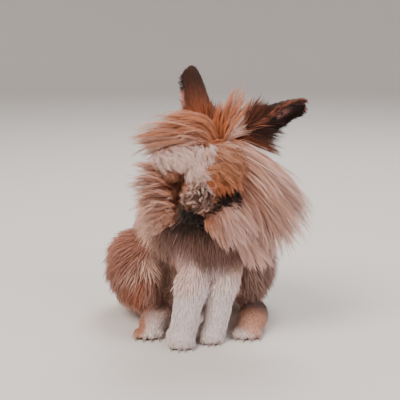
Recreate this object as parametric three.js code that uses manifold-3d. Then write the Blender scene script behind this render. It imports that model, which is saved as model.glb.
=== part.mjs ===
// Lionhead rabbit, sitting upright with its head bowed, life size, as a still model.
//
// Units are millimetres with Z up. The animal faces -Y, so its own left side is +X.
// The origin is the point of the floor under the middle of the animal.
// Every solid follows the outline of the coat, out to the tips of the hair.

import * as THREE from 'three';
import { mergeVertices } from 'three/addons/utils/BufferGeometryUtils.js';
import Module from 'manifold-3d';

const wasm = await Module();
wasm.setup();

// Driving dimensions of the whole animal

const PARTING = 0.3; // clear gap between neighbouring parts
const BODY_TURN = 12; // degrees that the chest is turned towards the animal's left
const HEAD_BOW = 33; // degrees that the nose points down
const HEAD_ROLL = 16; // degrees that the crown leans to the animal's left
const HEAD_TURN = -10; // degrees that the nose is turned to the animal's right
const NOSE_AT = [-2, -82, 147]; // tip of the nose

const EYE_RADIUS = 7.4;
const EYE_AT = [21.5, 42, 12]; // left eye, in the head's own frame
const MUZZLE_LENGTH = 24; // from the nose to the cut in front of the eyes
const EAR_LENGTH = 78;
const EAR_WIDTH = 38; // flat width of the opened ear
const EAR_THICKNESS = 4.4; // skin and short hair together
const TOE_COUNT = 4;
const TOE_HEIGHT = 0.7; // height of a toe's middle as a share of its thickness, so that it sits flat

// Planes of the thin cuts: a point, and the direction towards the part that the cut is named for

const CUTS = {
  chest: [[8, -30, 110], [0.2, -1, -0.35]],
  neck: [[10, 10, 150], [0, -0.45, 1]],
  thighLeft: [[30, 20, 10], [0.9, 0.19, -0.41]],
  thighRight: [[-38, 20, 10], [-0.9, -0.19, -0.41]],
  rump: [[-8, 50, 80], [-0.2, 1, 0.25]],
  foreleg: [[0, -50, 22], [0, 0.25, 1]],
};

const X_AXIS = new THREE.Vector3(1, 0, 0);
const Z_AXIS = new THREE.Vector3(0, 0, 1);
const BLOCK = 800; // side of the blocks that cut the solids
const SAME_POINT = 1e-4; // corners closer than this are one corner
const radians = THREE.MathUtils.degToRad;

// Finish of each kind of part

const FINISHES = {
  cream: { color: 0xd9c3b6, roughness: 0.95, metalness: 0 },
  white: { color: 0xe4dad3, roughness: 0.95, metalness: 0 },
  orange: { color: 0xb87a52, roughness: 0.95, metalness: 0 },
  tan: { color: 0xc79c7c, roughness: 0.95, metalness: 0 },
  sable: { color: 0x55342a, roughness: 0.95, metalness: 0 },
  eye: { color: 0x1c100b, roughness: 0.08, metalness: 0 },
  noseSkin: { color: 0x8a5a54, roughness: 0.6, metalness: 0 },
};

// A closed geometry becomes a solid that can be joined and cut.
function solidOf(geometry) {
  geometry.deleteAttribute('normal');
  geometry.deleteAttribute('uv');
  const merged = mergeVertices(geometry, SAME_POINT);
  return new wasm.Manifold(new wasm.Mesh({
    numProp: 3,
    vertProperties: new Float32Array(merged.attributes.position.array),
    triVerts: new Uint32Array(merged.index.array),
  }));
}

// A finished solid becomes the geometry of its mesh.
function geometryOf(solid) {
  const mesh = solid.getMesh();
  const geometry = new THREE.BufferGeometry();
  geometry.setAttribute('position', new THREE.BufferAttribute(new Float32Array(mesh.vertProperties), 3));
  geometry.setIndex(new THREE.BufferAttribute(new Uint32Array(mesh.triVerts), 1));
  geometry.computeVertexNormals();
  return geometry;
}

// A rounded form on a bent centre line. Each station is [x, y, z, half width, half height].
// The first and last stations are the form's two tips. A low fullness gives blunt ends.
// Every form is a function of how far its surface is moved outwards.
function roundForm(stations, { sides = 13, rings = 7, fullness = 0.62 } = {}) {
  const centre = new THREE.CatmullRomCurve3(stations.map(([x, y, z]) => new THREE.Vector3(x, y, z)));
  const girth = new THREE.CatmullRomCurve3(
    stations.map(([, , , wide, high]) => new THREE.Vector3(wide, high, 0)),
  );
  return (grow) => {
    const geometry = new THREE.SphereGeometry(1, sides, rings);
    const points = geometry.attributes.position;
    for (let i = 0; i < points.count; i += 1) {
      const along = THREE.MathUtils.clamp(points.getY(i), -1, 1);
      const share = (along + 1) / 2;
      const ring = Math.hypot(points.getX(i), points.getZ(i));
      const angle = Math.atan2(points.getZ(i), points.getX(i));
      const size = girth.getPoint(share);
      const tangent = centre.getTangent(share);
      const side = X_AXIS.clone().addScaledVector(tangent, -X_AXIS.dot(tangent)).normalize();
      const up = side.clone().cross(tangent);
      const spread = ring < SAME_POINT ? 0 : ring ** fullness;
      const place = centre.getPoint(share)
        .addScaledVector(tangent, along * grow)
        .addScaledVector(side, Math.cos(angle) * spread * (size.x + grow))
        .addScaledVector(up, Math.sin(angle) * spread * (size.y + grow));
      points.setXYZ(i, place.x, place.y, place.z);
    }
    return solidOf(geometry);
  };
}

// The same stations on the other side of the middle plane.
function mirrored(stations) {
  return stations.map(([x, ...rest]) => [-x, ...rest]);
}

function ball([x, y, z], radius) {
  return (grow) => solidOf(new THREE.SphereGeometry(radius + grow, 12, 8).translate(x, y, z));
}

// Several forms joined into one.
function joined(...forms) {
  return (grow) => forms.map((form) => form(grow)).reduce((whole, next) => whole.add(next));
}

// A form carried by a group, in the frame of the whole animal.
function carried(group, form) {
  group.updateWorldMatrix(true, false);
  const place = group.matrixWorld.clone();
  return (grow) => form(grow).transform(place.elements);
}

// A fan of tapering locks that start close together and end at their own tips.
// Each lock is [root, tip, half width at its middle]. They all bow towards the given side.
function lockFan(locks, bow) {
  return joined(...locks.map(([root, tip, girth]) => {
    const middle = root.map((value, axis) => (value + tip[axis]) / 2 + bow[axis]);
    return roundForm([
      [...root, girth * 0.7, girth * 0.7],
      [...middle, girth, girth * 0.85],
      [...tip, 1, 1],
    ], { sides: 6, rings: 4, fullness: 0.75 });
  }));
}

// An ear is a leaf of skin rolled round its length, nearly shut at the root and open above.
// It grows along +Z from its own origin, with its back to +Y and its hollow towards -Y.
// The roll is half the angle that the leaf wraps at its tip, and the tip bends back by the bend.
function earLeaf({ tipRoll, bend }) {
  const stepsAcross = 6;
  const stepsAlong = 9;
  const rootRoll = 140;
  const rootWidth = 0.5; // share of the full width
  const widest = 0.5; // share of the length
  const bluntness = 2.6; // how late the outline narrows towards the tip
  const tipWidth = 0.17; // share of the full width
  const hollowRadius = 0.6; // least space inside the roll
  return (grow) => {
    const geometry = new THREE.BoxGeometry(2, 1, 2, stepsAcross, stepsAlong, 1);
    const points = geometry.attributes.position;
    for (let i = 0; i < points.count; i += 1) {
      const across = points.getX(i);
      const share = points.getY(i) + 0.5;
      const rise = THREE.MathUtils.smoothstep(share, 0, widest);
      const fall = Math.max(share - widest, 0) / (1 - widest);
      const taper = Math.max(Math.sqrt(1 - fall ** bluntness), tipWidth);
      const halfWidth = EAR_WIDTH / 2 * THREE.MathUtils.lerp(rootWidth, 1, rise) * taper;
      const rim = 1 - 0.5 * Math.abs(across) ** 3;
      const half = EAR_THICKNESS * (0.62 - 0.24 * share) * rim + grow;
      const roll = radians(THREE.MathUtils.lerp(rootRoll, tipRoll, Math.sqrt(share)));
      const radius = Math.max(halfWidth / roll, half + hollowRadius);
      const angle = across * (roll + grow / radius);
      const reach = radius - points.getZ(i) * half;
      points.setXYZ(
        i,
        reach * Math.sin(angle),
        reach * Math.cos(angle) - radius + bend * share ** 2,
        EAR_LENGTH * share + (2 * share - 1) * grow,
      );
    }
    return solidOf(geometry);
  };
}

// A row of toes across the front of a foot, with its middle toes ending at the given tip.
// They sink a little into the floor, so that trimming leaves a small flat under each.
function toes([x, y], spread, length, radius, splay) {
  const z = radius * TOE_HEIGHT;
  const row = Array.from({ length: TOE_COUNT }, (_, i) => (i / (TOE_COUNT - 1)) * 2 - 1);
  return row.map((offset) => {
    const back = Math.abs(offset) ** 1.5 * radius * 0.9;
    const root = x + offset * spread * 0.75;
    const tip = x + offset * spread + splay * length;
    return roundForm([
      [root, y + length + back, z + radius * 0.25, radius * 0.9, radius],
      [(root + tip) / 2, y + length * 0.5 + back, z + radius * 0.1, radius, radius * 1.05],
      [tip, y + back, z, radius * 0.8, radius * 0.8],
    ], { sides: 6, rings: 4 });
  });
}

// The groups that the parts hang in

const animal = new THREE.Group();

const body = new THREE.Group();
body.rotation.z = radians(BODY_TURN);
animal.add(body);

const head = new THREE.Group();
head.position.set(...NOSE_AT);
head.rotation.set(radians(HEAD_BOW), radians(HEAD_ROLL), radians(HEAD_TURN), 'YXZ');
animal.add(head);

// A group for one ear, from its root, the direction it points in and where its hollow faces.
function earGroup(root, pointing, hollow) {
  const group = new THREE.Group();
  const along = new THREE.Vector3(...pointing).normalize();
  const back = new THREE.Vector3(...hollow).negate();
  back.addScaledVector(along, -back.dot(along)).normalize();
  const side = back.clone().cross(along);
  group.position.set(...root);
  group.quaternion.setFromRotationMatrix(new THREE.Matrix4().makeBasis(side, back, along));
  animal.add(group);
  return group;
}

const earLeft = earGroup([36, -42, 204], [73, 27, 28], [0.1, -0.9, -0.4]);
const earRight = earGroup([11, -38, 212], [-28, 50, 52], [-0.35, 0.9, -0.3]);

// The head, with its nose towards -Y of its own frame

const eyeLeft = ball(EYE_AT, EYE_RADIUS);
const eyeRight = ball([-EYE_AT[0], EYE_AT[1], EYE_AT[2]], EYE_RADIUS);

const nosePad = roundForm([
  [0, 0, -7, 1.5, 1.5],
  [0, 0, -3, 4, 3],
  [0, 0, 1, 7, 4],
  [0, 3, 4, 3, 2],
], { sides: 8, rings: 5 });

const cranium = [
  [0, 10, -2, 18, 18],
  [0, 30, 0, 27, 27],
  [0, 50, 4, 31, 32],
  [0, 70, 6, 32, 34],
  [0, 92, 2, 26, 26],
];
const snout = [
  [0, 1, -5, 10, 8],
  [0, 12, -2, 15, 14],
  [0, 26, 1, 20, 20],
  [0, 44, 4, 18, 18],
];
const whiskerPad = [
  [6, 2, -9, 8, 8],
  [10, 12, -9, 12, 12],
  [14, 26, -8, 11, 12],
  [17, 38, -7, 7, 8],
];
const chin = [
  [0, 6, -18, 8, 5],
  [0, 18, -20, 13, 8],
  [0, 36, -20, 12, 8],
];
const cheek = [
  [22, 20, -12, 9, 10],
  [30, 40, -8, 13, 20],
  [33, 60, -6, 13, 24],
  [26, 84, -4, 9, 14],
];
const skull = joined(
  roundForm(cranium),
  roundForm(snout, { sides: 11, rings: 6, fullness: 0.55 }),
  roundForm(whiskerPad, { sides: 8, rings: 5 }),
  roundForm(mirrored(whiskerPad), { sides: 8, rings: 5 }),
  roundForm(chin, { sides: 7, rings: 4 }),
  roundForm(cheek, { sides: 8, rings: 6 }),
  roundForm(mirrored(cheek), { sides: 8, rings: 6 }),
);

// The wool of the cheeks stands out round each eye and leaves it free.
const eyeOpening = [
  [17, 40, 11, 6, 6],
  [24, 41, 13, 9, 8.5],
  [33, 40, 16, 13, 12],
  [48, 38, 21, 17, 16],
];
const eyeOpenings = joined(
  roundForm(eyeOpening, { sides: 8, rings: 4 }),
  roundForm(mirrored(eyeOpening), { sides: 8, rings: 4 }),
);

// The trunk with the rump, both thighs, the neck and the chest

const ribs = [
  [0, -50, 104, 36, 40],
  [0, -20, 114, 58, 58],
  [0, 22, 110, 68, 62],
  [0, 62, 90, 66, 58],
  [0, 100, 66, 44, 42],
];
const seat = [
  [0, 14, 50, 54, 40],
  [0, 46, 55, 68, 59],
  [0, 84, 53, 64, 58],
  [0, 120, 44, 42, 40],
];
const thigh = [
  [50, -8, 46, 14, 22],
  [59, 20, 54, 28, 42],
  [59, 58, 56, 30, 46],
  [46, 96, 48, 20, 34],
];
const nape = [
  [18, -48, 180, 30, 30],
  [14, -18, 180, 52, 44],
  [6, 14, 158, 58, 48],
  [0, 50, 122, 44, 38],
];
const breast = [
  [12, -46, 172, 30, 18],
  [12, -54, 148, 52, 24],
  [11, -54, 118, 56, 28],
  [10, -46, 86, 46, 24],
  [8, -38, 60, 28, 18],
];
const core = joined(
  carried(body, joined(
    roundForm(ribs, { sides: 15, rings: 8 }),
    roundForm(seat, { sides: 15, rings: 7 }),
    roundForm(thigh),
    roundForm(mirrored(thigh)),
  )),
  roundForm(nape),
  roundForm(breast),
);

// Limbs and tail

const limbs = {
  foreleg_left: joined(
    roundForm([
      [35, -20, 118, 20, 22],
      [28, -34, 78, 18, 19],
      [20, -42, 42, 15.5, 16],
      [13, -44, 8, 13.5, 14],
    ], { sides: 10, rings: 6, fullness: 0.5 }),
    roundForm([
      [12, -26, 10, 10, 9],
      [12, -40, 12, 14, 13],
      [12, -52, 9, 13, 10],
      [12, -58, 6, 9, 6],
    ], { sides: 8, rings: 5 }),
    ...toes([12, -60], 9, 13, 4.8, -0.1),
  ),
  foreleg_right: joined(
    roundForm([
      [8, -24, 118, 20, 22],
      [-4, -42, 76, 18.5, 19],
      [-12, -52, 40, 16.5, 16],
      [-18, -55, 8, 14.5, 14],
    ], { sides: 10, rings: 6, fullness: 0.5 }),
    roundForm([
      [-18, -36, 10, 11, 9],
      [-18, -52, 12, 15.5, 13],
      [-18.5, -66, 9, 15, 10],
      [-19, -72, 6, 11, 6],
    ], { sides: 8, rings: 5 }),
    ...toes([-18.5, -74], 11, 13, 5.2, 0.1),
  ),
  hind_foot_left: joined(
    roundForm([
      [62, 36, 10, 10, 9],
      [58, 10, 12, 14, 13],
      [52, -18, 12, 17, 13],
      [48, -42, 8, 14, 9],
    ], { sides: 8, rings: 6 }),
    ...toes([48, -48], 13, 16, 5.4, -0.1),
  ),
  hind_foot_right: joined(
    roundForm([
      [-38, 38, 10, 10, 9],
      [-42, 12, 12, 14, 13],
      [-47, -18, 12, 16.5, 13],
      [-49, -42, 8, 14, 9],
    ], { sides: 8, rings: 6 }),
    ...toes([-49, -48], 12.5, 16, 5.4, -0.2),
  ),
};

const tail = carried(body, roundForm([
  [0, 106, 26, 12, 10],
  [0, 121, 36, 17, 14],
  [0, 128, 52, 15, 12],
  [0, 124, 68, 6, 6],
], { sides: 9, rings: 6 }));

// The mane: locks that fall from the crown to both sides and a ruff below the face

const manes = {
  mane_right: lockFan([
    [[8, -58, 210], [-42, -50, 220], 12],
    [[2, -58, 205], [-62, -46, 209], 14],
    [[-2, -56, 200], [-71, -42, 198], 15],
    [[-6, -54, 194], [-68, -40, 186], 14],
    [[-14, -52, 190], [-54, -40, 177], 11],
  ], [0, -4, 4]),
  mane_left: lockFan([
    [[28, -60, 204], [76, -34, 172], 13],
    [[28, -60, 196], [94, -34, 150], 16],
    [[30, -58, 186], [101, -36, 126], 18],
    [[32, -56, 174], [98, -38, 104], 19],
    [[34, -54, 160], [84, -42, 92], 19],
  ], [8, -8, 7]),
  ruff_right: lockFan([
    [[-16, -58, 168], [-64, -42, 178], 12],
    [[-16, -60, 158], [-74, -42, 162], 14],
    [[-14, -60, 148], [-74, -40, 144], 15],
    [[-12, -60, 138], [-66, -40, 126], 15],
    [[-8, -58, 128], [-54, -44, 108], 14],
  ], [0, -6, 0]),
  ruff_left: lockFan([
    [[10, -72, 144], [14, -78, 98], 10],
    [[20, -74, 144], [30, -80, 90], 12],
    [[30, -74, 144], [46, -78, 94], 12],
    [[38, -72, 146], [58, -70, 104], 11],
  ], [2, -8, 2]),
  forelock: lockFan([
    [[20, -46, 200], [24, -40, 250], 9],
    [[24, -46, 200], [40, -36, 252], 10],
    [[28, -46, 200], [56, -34, 240], 9],
  ], [0, -2, 2]),
};

// Each solid is cut back from its neighbours and becomes a named mesh in its group

function addPart(name, finish, solid, group = animal) {
  group.updateWorldMatrix(true, false);
  const local = solid.transform(group.matrixWorld.clone().invert().elements);
  const mesh = new THREE.Mesh(geometryOf(local), new THREE.MeshStandardMaterial(FINISHES[finish]));
  mesh.name = name;
  group.add(mesh);
}

// A block that fills the space beyond a plane, which is given by a point and its normal.
function beyond(point, normal) {
  const block = new THREE.BoxGeometry(BLOCK, BLOCK, BLOCK).translate(0, 0, (BLOCK + PARTING) / 2);
  const turn = new THREE.Quaternion().setFromUnitVectors(Z_AXIS, new THREE.Vector3(...normal).normalize());
  return solidOf(block.applyQuaternion(turn).translate(...point));
}

// A thin cut along a plane parts a solid in two.
function parted(solid, point, normal) {
  const reversed = normal.map((value) => -value);
  return [solid.intersect(beyond(point, normal)), solid.intersect(beyond(point, reversed))];
}

const ground = solidOf(new THREE.BoxGeometry(BLOCK, BLOCK, BLOCK).translate(0, 0, -BLOCK / 2));
const coreRoom = core(PARTING);
const facePieces = carried(head, joined(eyeLeft, eyeRight, nosePad))(PARTING);
const headRoom = carried(head, skull)(PARTING).add(facePieces);
const openRoom = carried(head, eyeOpenings)(0);

addPart('eye_left', 'eye', carried(head, eyeLeft)(0), head);
addPart('eye_right', 'eye', carried(head, eyeRight)(0), head);
addPart('nose', 'noseSkin', carried(head, nosePad)(0), head);

const wholeHead = carried(head, skull)(0).subtract(openRoom).subtract(facePieces);
const muzzleEnd = head.localToWorld(new THREE.Vector3(0, MUZZLE_LENGTH, 0)).toArray();
const forward = new THREE.Vector3(0, -1, 0).applyQuaternion(head.quaternion).toArray();
const [muzzle, backOfHead] = parted(wholeHead, muzzleEnd, forward);
addPart('muzzle', 'tan', muzzle, head);
addPart('head', 'orange', backOfHead, head);

const wholeCore = core(0).subtract(headRoom).subtract(openRoom).subtract(ground);
const [chest, behindChest] = parted(wholeCore, ...CUTS.chest);
const [neck, belowNeck] = parted(behindChest, ...CUTS.neck);
const [thighLeft, rightOfIt] = parted(belowNeck, ...CUTS.thighLeft);
const [thighRight, middle] = parted(rightOfIt, ...CUTS.thighRight);
const [rump, trunk] = parted(middle, ...CUTS.rump);
addPart('neck', 'tan', neck);
addPart('chest', 'white', chest);
addPart('trunk', 'cream', trunk);
addPart('rump', 'cream', rump);
addPart('thigh_left', 'orange', thighLeft);
addPart('thigh_right', 'orange', thighRight);

let limbRoom = coreRoom.add(ground);
for (const [name, form] of Object.entries(limbs)) {
  const limb = form(0).subtract(limbRoom);
  limbRoom = limbRoom.add(form(PARTING));
  if (name.startsWith('foreleg')) {
    const [leg, paw] = parted(limb, ...CUTS.foreleg);
    addPart(name, 'white', leg);
    addPart(name.replace('foreleg', 'forepaw'), 'white', paw);
  } else {
    addPart(name, 'white', limb);
  }
}

addPart('tail', 'cream', tail(0).subtract(coreRoom));

let taken = headRoom.add(coreRoom);
const ears = [
  ['ear_left', earLeft, earLeaf({ tipRoll: 78, bend: 8 })],
  ['ear_right', earRight, earLeaf({ tipRoll: 100, bend: 10 })],
];
for (const [name, group, leaf] of ears) {
  const ear = carried(group, leaf);
  addPart(name, 'sable', ear(0).subtract(taken), group);
  taken = taken.add(ear(PARTING));
}
for (const [name, form] of Object.entries(manes)) {
  addPart(name, name.endsWith('right') ? 'tan' : 'cream', form(0).subtract(taken));
  taken = taken.add(form(PARTING));
}

// The whole animal is moved so that its middle stands over the origin

const precise = true;
const extent = new THREE.Box3().setFromObject(animal, precise);
animal.position.set(-(extent.min.x + extent.max.x) / 2, -(extent.min.y + extent.max.y) / 2, 0);

export default animal;
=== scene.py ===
"""A lionhead rabbit that sits upright with its head bowed: skin, eyes, claws and a coat of solid tufts.

Sizes and places in the classes are millimetres in the drawing frame: +Z is up, the rabbit faces -Y and
its own left side is +X. The head, and the trunk with the hind quarters, have frames of their own inside
that one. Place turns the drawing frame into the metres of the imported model.
"""

import logging
import math
from dataclasses import dataclass, field, replace
from enum import Enum
from typing import Sequence

import bpy
import numpy as np
import numpy.typing as npt
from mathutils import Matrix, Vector, kdtree
from mathutils.bvhtree import BVHTree


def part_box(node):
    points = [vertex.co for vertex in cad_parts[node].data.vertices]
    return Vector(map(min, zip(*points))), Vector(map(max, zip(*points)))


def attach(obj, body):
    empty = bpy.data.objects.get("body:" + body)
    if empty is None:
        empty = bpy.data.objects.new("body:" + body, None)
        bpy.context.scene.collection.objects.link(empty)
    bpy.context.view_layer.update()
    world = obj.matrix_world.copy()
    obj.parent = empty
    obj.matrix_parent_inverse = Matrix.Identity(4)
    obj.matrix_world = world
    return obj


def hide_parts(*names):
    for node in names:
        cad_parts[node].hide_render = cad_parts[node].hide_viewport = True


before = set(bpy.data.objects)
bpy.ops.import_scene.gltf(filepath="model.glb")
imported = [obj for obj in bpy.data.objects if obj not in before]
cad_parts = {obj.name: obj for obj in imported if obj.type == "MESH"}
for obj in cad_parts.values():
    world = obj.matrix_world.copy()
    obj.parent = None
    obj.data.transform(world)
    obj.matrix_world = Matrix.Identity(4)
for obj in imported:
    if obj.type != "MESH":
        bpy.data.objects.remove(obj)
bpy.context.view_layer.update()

log = logging.getLogger("rabbit")

Array = npt.NDArray[np.float64]
Point = tuple[float, float, float]
Station = tuple[float, float, float, float, float]

SEED = 20
COAT_DRAWS, FAN_DRAWS, EAR_DRAWS, PUFF_DRAWS = 0, 100, 200, 300  # first number of each kind's random draws
MILLIMETRE = 0.001
TINY = 1e-9
BODY = "root"
FLOOR_GAP = 0.25  # least height of a hair over the floor
ROOT_DEPTH = 0.4  # how far under the skin a tuft starts


# Small helpers for vectors, curves and colours


def unit(vectors: Array) -> Array:
    """Scales each vector to a length of one."""
    return vectors / np.maximum(np.linalg.norm(vectors, axis=-1, keepdims=True), TINY)


def ramp(low: float, high: float, value: Array) -> Array:
    """Rises smoothly from 0 at low to 1 at high."""
    share = np.clip((value - low) / (high - low), 0.0, 1.0)
    return share * share * (3 - 2 * share)


def linear(code: str) -> Array:
    """Turns an sRGB hex colour into linear red, green and blue.

    Args:
        code: Six hex digits, with or without a leading hash.

    Returns:
        The three linear values.
    """
    digits = code.lstrip("#")
    srgb = np.array([int(digits[i : i + 2], 16) / 255 for i in (0, 2, 4)])
    return np.where(srgb <= 0.04045, srgb / 12.92, ((srgb + 0.055) / 1.055) ** 2.4)


def mottle(points: Array, size: float) -> Array:
    """Gives a smooth uneven value between about -1 and 1 at each point.

    Args:
        points: Places in millimetres.
        size: Rough size of one patch of the pattern.

    Returns:
        One value for each point.
    """
    x, y, z = (points / size).T
    first = np.sin(2.1 * x + 1.3 * np.sin(1.7 * y)) * np.cos(1.9 * z + np.sin(1.1 * x))
    second = np.sin(3.7 * y + 2.0 * np.sin(2.9 * z)) * np.cos(3.1 * x + 0.7)
    return 0.65 * first + 0.35 * second


def curve_points(knots: Array, share: Array) -> Array:
    """Samples a smooth curve through knots.

    Args:
        knots: An array of two or more rows.
        share: Where to sample it, from 0 at the first knot to 1 at the last.

    Returns:
        One row for each sample.
    """
    knots = np.asarray(knots, float)
    before = 2 * knots[:1] - knots[1:2]
    after = 2 * knots[-1:] - knots[-2:-1]
    padded = np.concatenate([before, knots, after])
    place = np.clip(share, 0, 1) * (len(knots) - 1)
    index = np.minimum(place.astype(int), len(knots) - 2)
    t = (place - index)[:, None]
    a, b, c, d = (padded[index + step] for step in range(4))
    return 0.5 * (2 * b + (c - a) * t + (2 * a - 5 * b + 4 * c - d) * t**2 + (3 * b - a - 3 * c + d) * t**3)


def turn_about(axis: int, degrees: float) -> Array:
    """Makes the matrix that turns about X, Y or Z, which are axes 0, 1 and 2."""
    angle = math.radians(degrees)
    first, second = (axis + 1) % 3, (axis + 2) % 3
    matrix = np.eye(3)
    matrix[first, first] = matrix[second, second] = math.cos(angle)
    matrix[second, first] = math.sin(angle)
    matrix[first, second] = -math.sin(angle)
    return matrix


def circle(sides: int) -> Array:
    """Gives evenly spaced angles all round a circle."""
    return np.linspace(0, 2 * math.pi, sides, endpoint=False)


def on_sphere(polar: Array, turn: Array) -> Array:
    """Gives places on a sphere of radius one, by the angle off its axis and the turn round it."""
    return np.stack([np.sin(polar) * np.cos(turn), np.sin(polar) * np.sin(turn), np.cos(polar)], axis=1)


def along_normal(vectors: Array, normals: Array) -> Array:
    """Gives the part of each vector that runs along its normal."""
    return (vectors * normals).sum(axis=1, keepdims=True) * normals


def ring_faces(rings: int, sides: int, turned: bool = False, wrapped: bool = False, start: int = 0) -> list:
    """Joins rings of points into faces with four corners.

    Args:
        rings: How many rings there are, one after the other.
        sides: Points in each ring.
        turned: Whether the faces look the other way.
        wrapped: Whether the last ring is joined to the first.
        start: The number of the first ring's first point.

    Returns:
        The faces, as lists of the numbers of their corners.
    """
    faces = []
    for j in range(rings if wrapped else rings - 1):
        low = start + j * sides
        high = start + (j + 1) % rings * sides
        for i in range(sides):
            k = (i + 1) % sides
            second, last = (high + i, low + k) if turned else (low + k, high + i)
            faces.append([low + i, second, high + k, last])
    return faces


def draws(first: int, number: int) -> np.random.Generator:
    """Makes a piece's own source of random numbers."""
    return np.random.default_rng([SEED, first + number])


def vary(rng: np.random.Generator, spread: float, low: float, high: float, shape: int | tuple) -> Array:
    """Gives factors that spread round one, kept between low and high."""
    return np.clip(1 + rng.normal(0, spread, shape), low, high)


def in_ball(count: int, rng: np.random.Generator) -> Array:
    """Picks places in a ball of radius one, a little closer together towards its middle."""
    return unit(rng.normal(0, 1, (count, 3))) * rng.random((count, 1)) ** 0.5


# Frames


class Zone(Enum):
    """The frame that a place is given in."""

    HEAD = "head"
    TRUNK = "trunk"
    WHOLE = "whole"


@dataclass(frozen=True)
class Posture:
    """How the head and the trunk are carried, in degrees and millimetres."""

    bow: float = 33.0
    roll: float = 16.0
    turn: float = -10.0
    nose: Point = (-2.0, -82.0, 147.0)
    trunk_turn: float = 12.0

    def matrix(self, zone: Zone) -> Array:
        """Gives the rotation of a zone's frame inside the drawing frame."""
        if zone is Zone.HEAD:
            return turn_about(1, self.roll) @ turn_about(0, self.bow) @ turn_about(2, self.turn)
        if zone is Zone.TRUNK:
            return turn_about(2, self.trunk_turn)
        return np.eye(3)

    def origin(self, zone: Zone) -> Array:
        """Gives the place of a zone's own origin in the drawing frame."""
        return np.array(self.nose if zone is Zone.HEAD else (0.0, 0.0, 0.0))

    def out(self, zone: Zone, points: Sequence) -> Array:
        """Moves points from a zone's frame to the drawing frame."""
        return np.asarray(points, float) @ self.matrix(zone).T + self.origin(zone)

    def into(self, zone: Zone, points: Array) -> Array:
        """Moves points from the drawing frame to a zone's frame."""
        return (points - self.origin(zone)) @ self.matrix(zone)


@dataclass(frozen=True)
class Place:
    """Turns the drawing frame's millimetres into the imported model's metres."""

    shift: tuple[float, float, float]

    @classmethod
    def from_eyes(cls, posture: Posture, middle: Point) -> "Place":
        """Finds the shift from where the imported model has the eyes.

        Args:
            posture: How the head is carried.
            middle: The middle between the eyes, in the head's frame.

        Returns:
            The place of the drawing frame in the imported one.
        """
        corners = [corner for side in ("left", "right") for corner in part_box(f"eye_{side}")]
        packed = np.mean([tuple(corner) for corner in corners], axis=0) / MILLIMETRE
        shift = packed - posture.out(Zone.HEAD, [middle])[0]
        return cls(tuple(float(value) for value in shift))

    def metres(self, points: Array) -> Array:
        """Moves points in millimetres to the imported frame."""
        return (points + np.array(self.shift)) * MILLIMETRE


# Materials

NOISE_SPAN = (0.3, 0.7)  # most of a noise texture's values lie between these


def add_node(tree: bpy.types.NodeTree, kind: str, settings: dict | None = None, links: dict | None = None):
    """Adds one node to a material.

    Args:
        tree: The material's node tree.
        kind: The node's type name.
        settings: Values for its properties, or for its input sockets by name.
        links: Output sockets to link to its inputs, by the input's name or number.

    Returns:
        The new node.
    """
    node = tree.nodes.new(kind)
    for name, value in (settings or {}).items():
        if hasattr(node, name):
            setattr(node, name, value)
        else:
            node.inputs[name].default_value = value
    for name, source in (links or {}).items():
        tree.links.new(source, node.inputs[name])
    return node


def new_material(name: str) -> tuple[bpy.types.Material, bpy.types.NodeTree]:
    """Makes an empty material and gives it with its node tree."""
    material = bpy.data.materials.new(name)
    material.use_nodes = True
    material.node_tree.nodes.clear()
    return material, material.node_tree


def shade_tint(
    tree: bpy.types.NodeTree,
    pattern: bpy.types.NodeSocket,
    span: tuple[float, float],
    tones: tuple[float, float],
) -> bpy.types.Node:
    """Makes a piece's own colour darker and lighter by a pattern.

    Args:
        tree: The material's node tree.
        pattern: The socket that gives the pattern.
        span: The pattern's values at its darkest and its lightest.
        tones: What the colour is multiplied by there.

    Returns:
        The last node, which gives the colour as its vector.
    """
    tint = add_node(tree, "ShaderNodeAttribute", {"attribute_name": "tint"})
    light = add_node(
        tree,
        "ShaderNodeMapRange",
        {"From Min": span[0], "From Max": span[1], "To Min": tones[0], "To Max": tones[1]},
        {"Value": pattern},
    )
    return add_node(
        tree,
        "ShaderNodeVectorMath",
        {"operation": "MULTIPLY"},
        {0: tint.outputs["Color"], 1: light.outputs["Result"]},
    )


@dataclass(frozen=True)
class FurFinish:
    """Keratin hair in locks. Its scales give the eye fine lines along each tuft and a soft sheen."""

    name: str
    roughness: float = 0.62
    sheen: float = 0.35
    line_depth: float = 0.35
    hair_spacing: float = 0.16  # mm, drawn about twice as coarse as a real hair's 0.07 so that it shows
    stretch: float = 0.12  # scale of the lines along the strand
    contrast: float = 0.16

    def make(self) -> bpy.types.Material:
        """Builds the material, whose colour is the hair's own tint with fine lines along the strand."""
        material, tree = new_material(self.name)
        strand = add_node(tree, "ShaderNodeUVMap", {"uv_map": "strand"})
        lines = add_node(
            tree,
            "ShaderNodeMapping",
            {"Scale": (1 / self.hair_spacing, self.stretch, 1)},
            {"Vector": strand.outputs["UV"]},
        )
        hairs = add_node(
            tree,
            "ShaderNodeTexNoise",
            {"noise_dimensions": "2D", "Scale": 1.0, "Detail": 2.0},
            {"Vector": lines.outputs["Vector"]},
        )
        tones = (1 - self.contrast, 1 + self.contrast)
        colour = shade_tint(tree, hairs.outputs["Fac"], NOISE_SPAN, tones)
        bump = add_node(
            tree,
            "ShaderNodeBump",
            {"Strength": self.line_depth, "Distance": 0.0002},
            {"Height": hairs.outputs["Fac"]},
        )
        shader = add_node(
            tree,
            "ShaderNodeBsdfPrincipled",
            {
                "Roughness": self.roughness,
                "IOR": 1.55,
                "Specular IOR Level": 0.15,
                "Sheen Weight": self.sheen,
                "Sheen Roughness": 0.5,
            },
            {"Base Color": colour.outputs["Vector"], "Normal": bump.outputs["Normal"]},
        )
        add_node(tree, "ShaderNodeOutputMaterial", links={"Surface": shader.outputs["BSDF"]})
        return material


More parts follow.
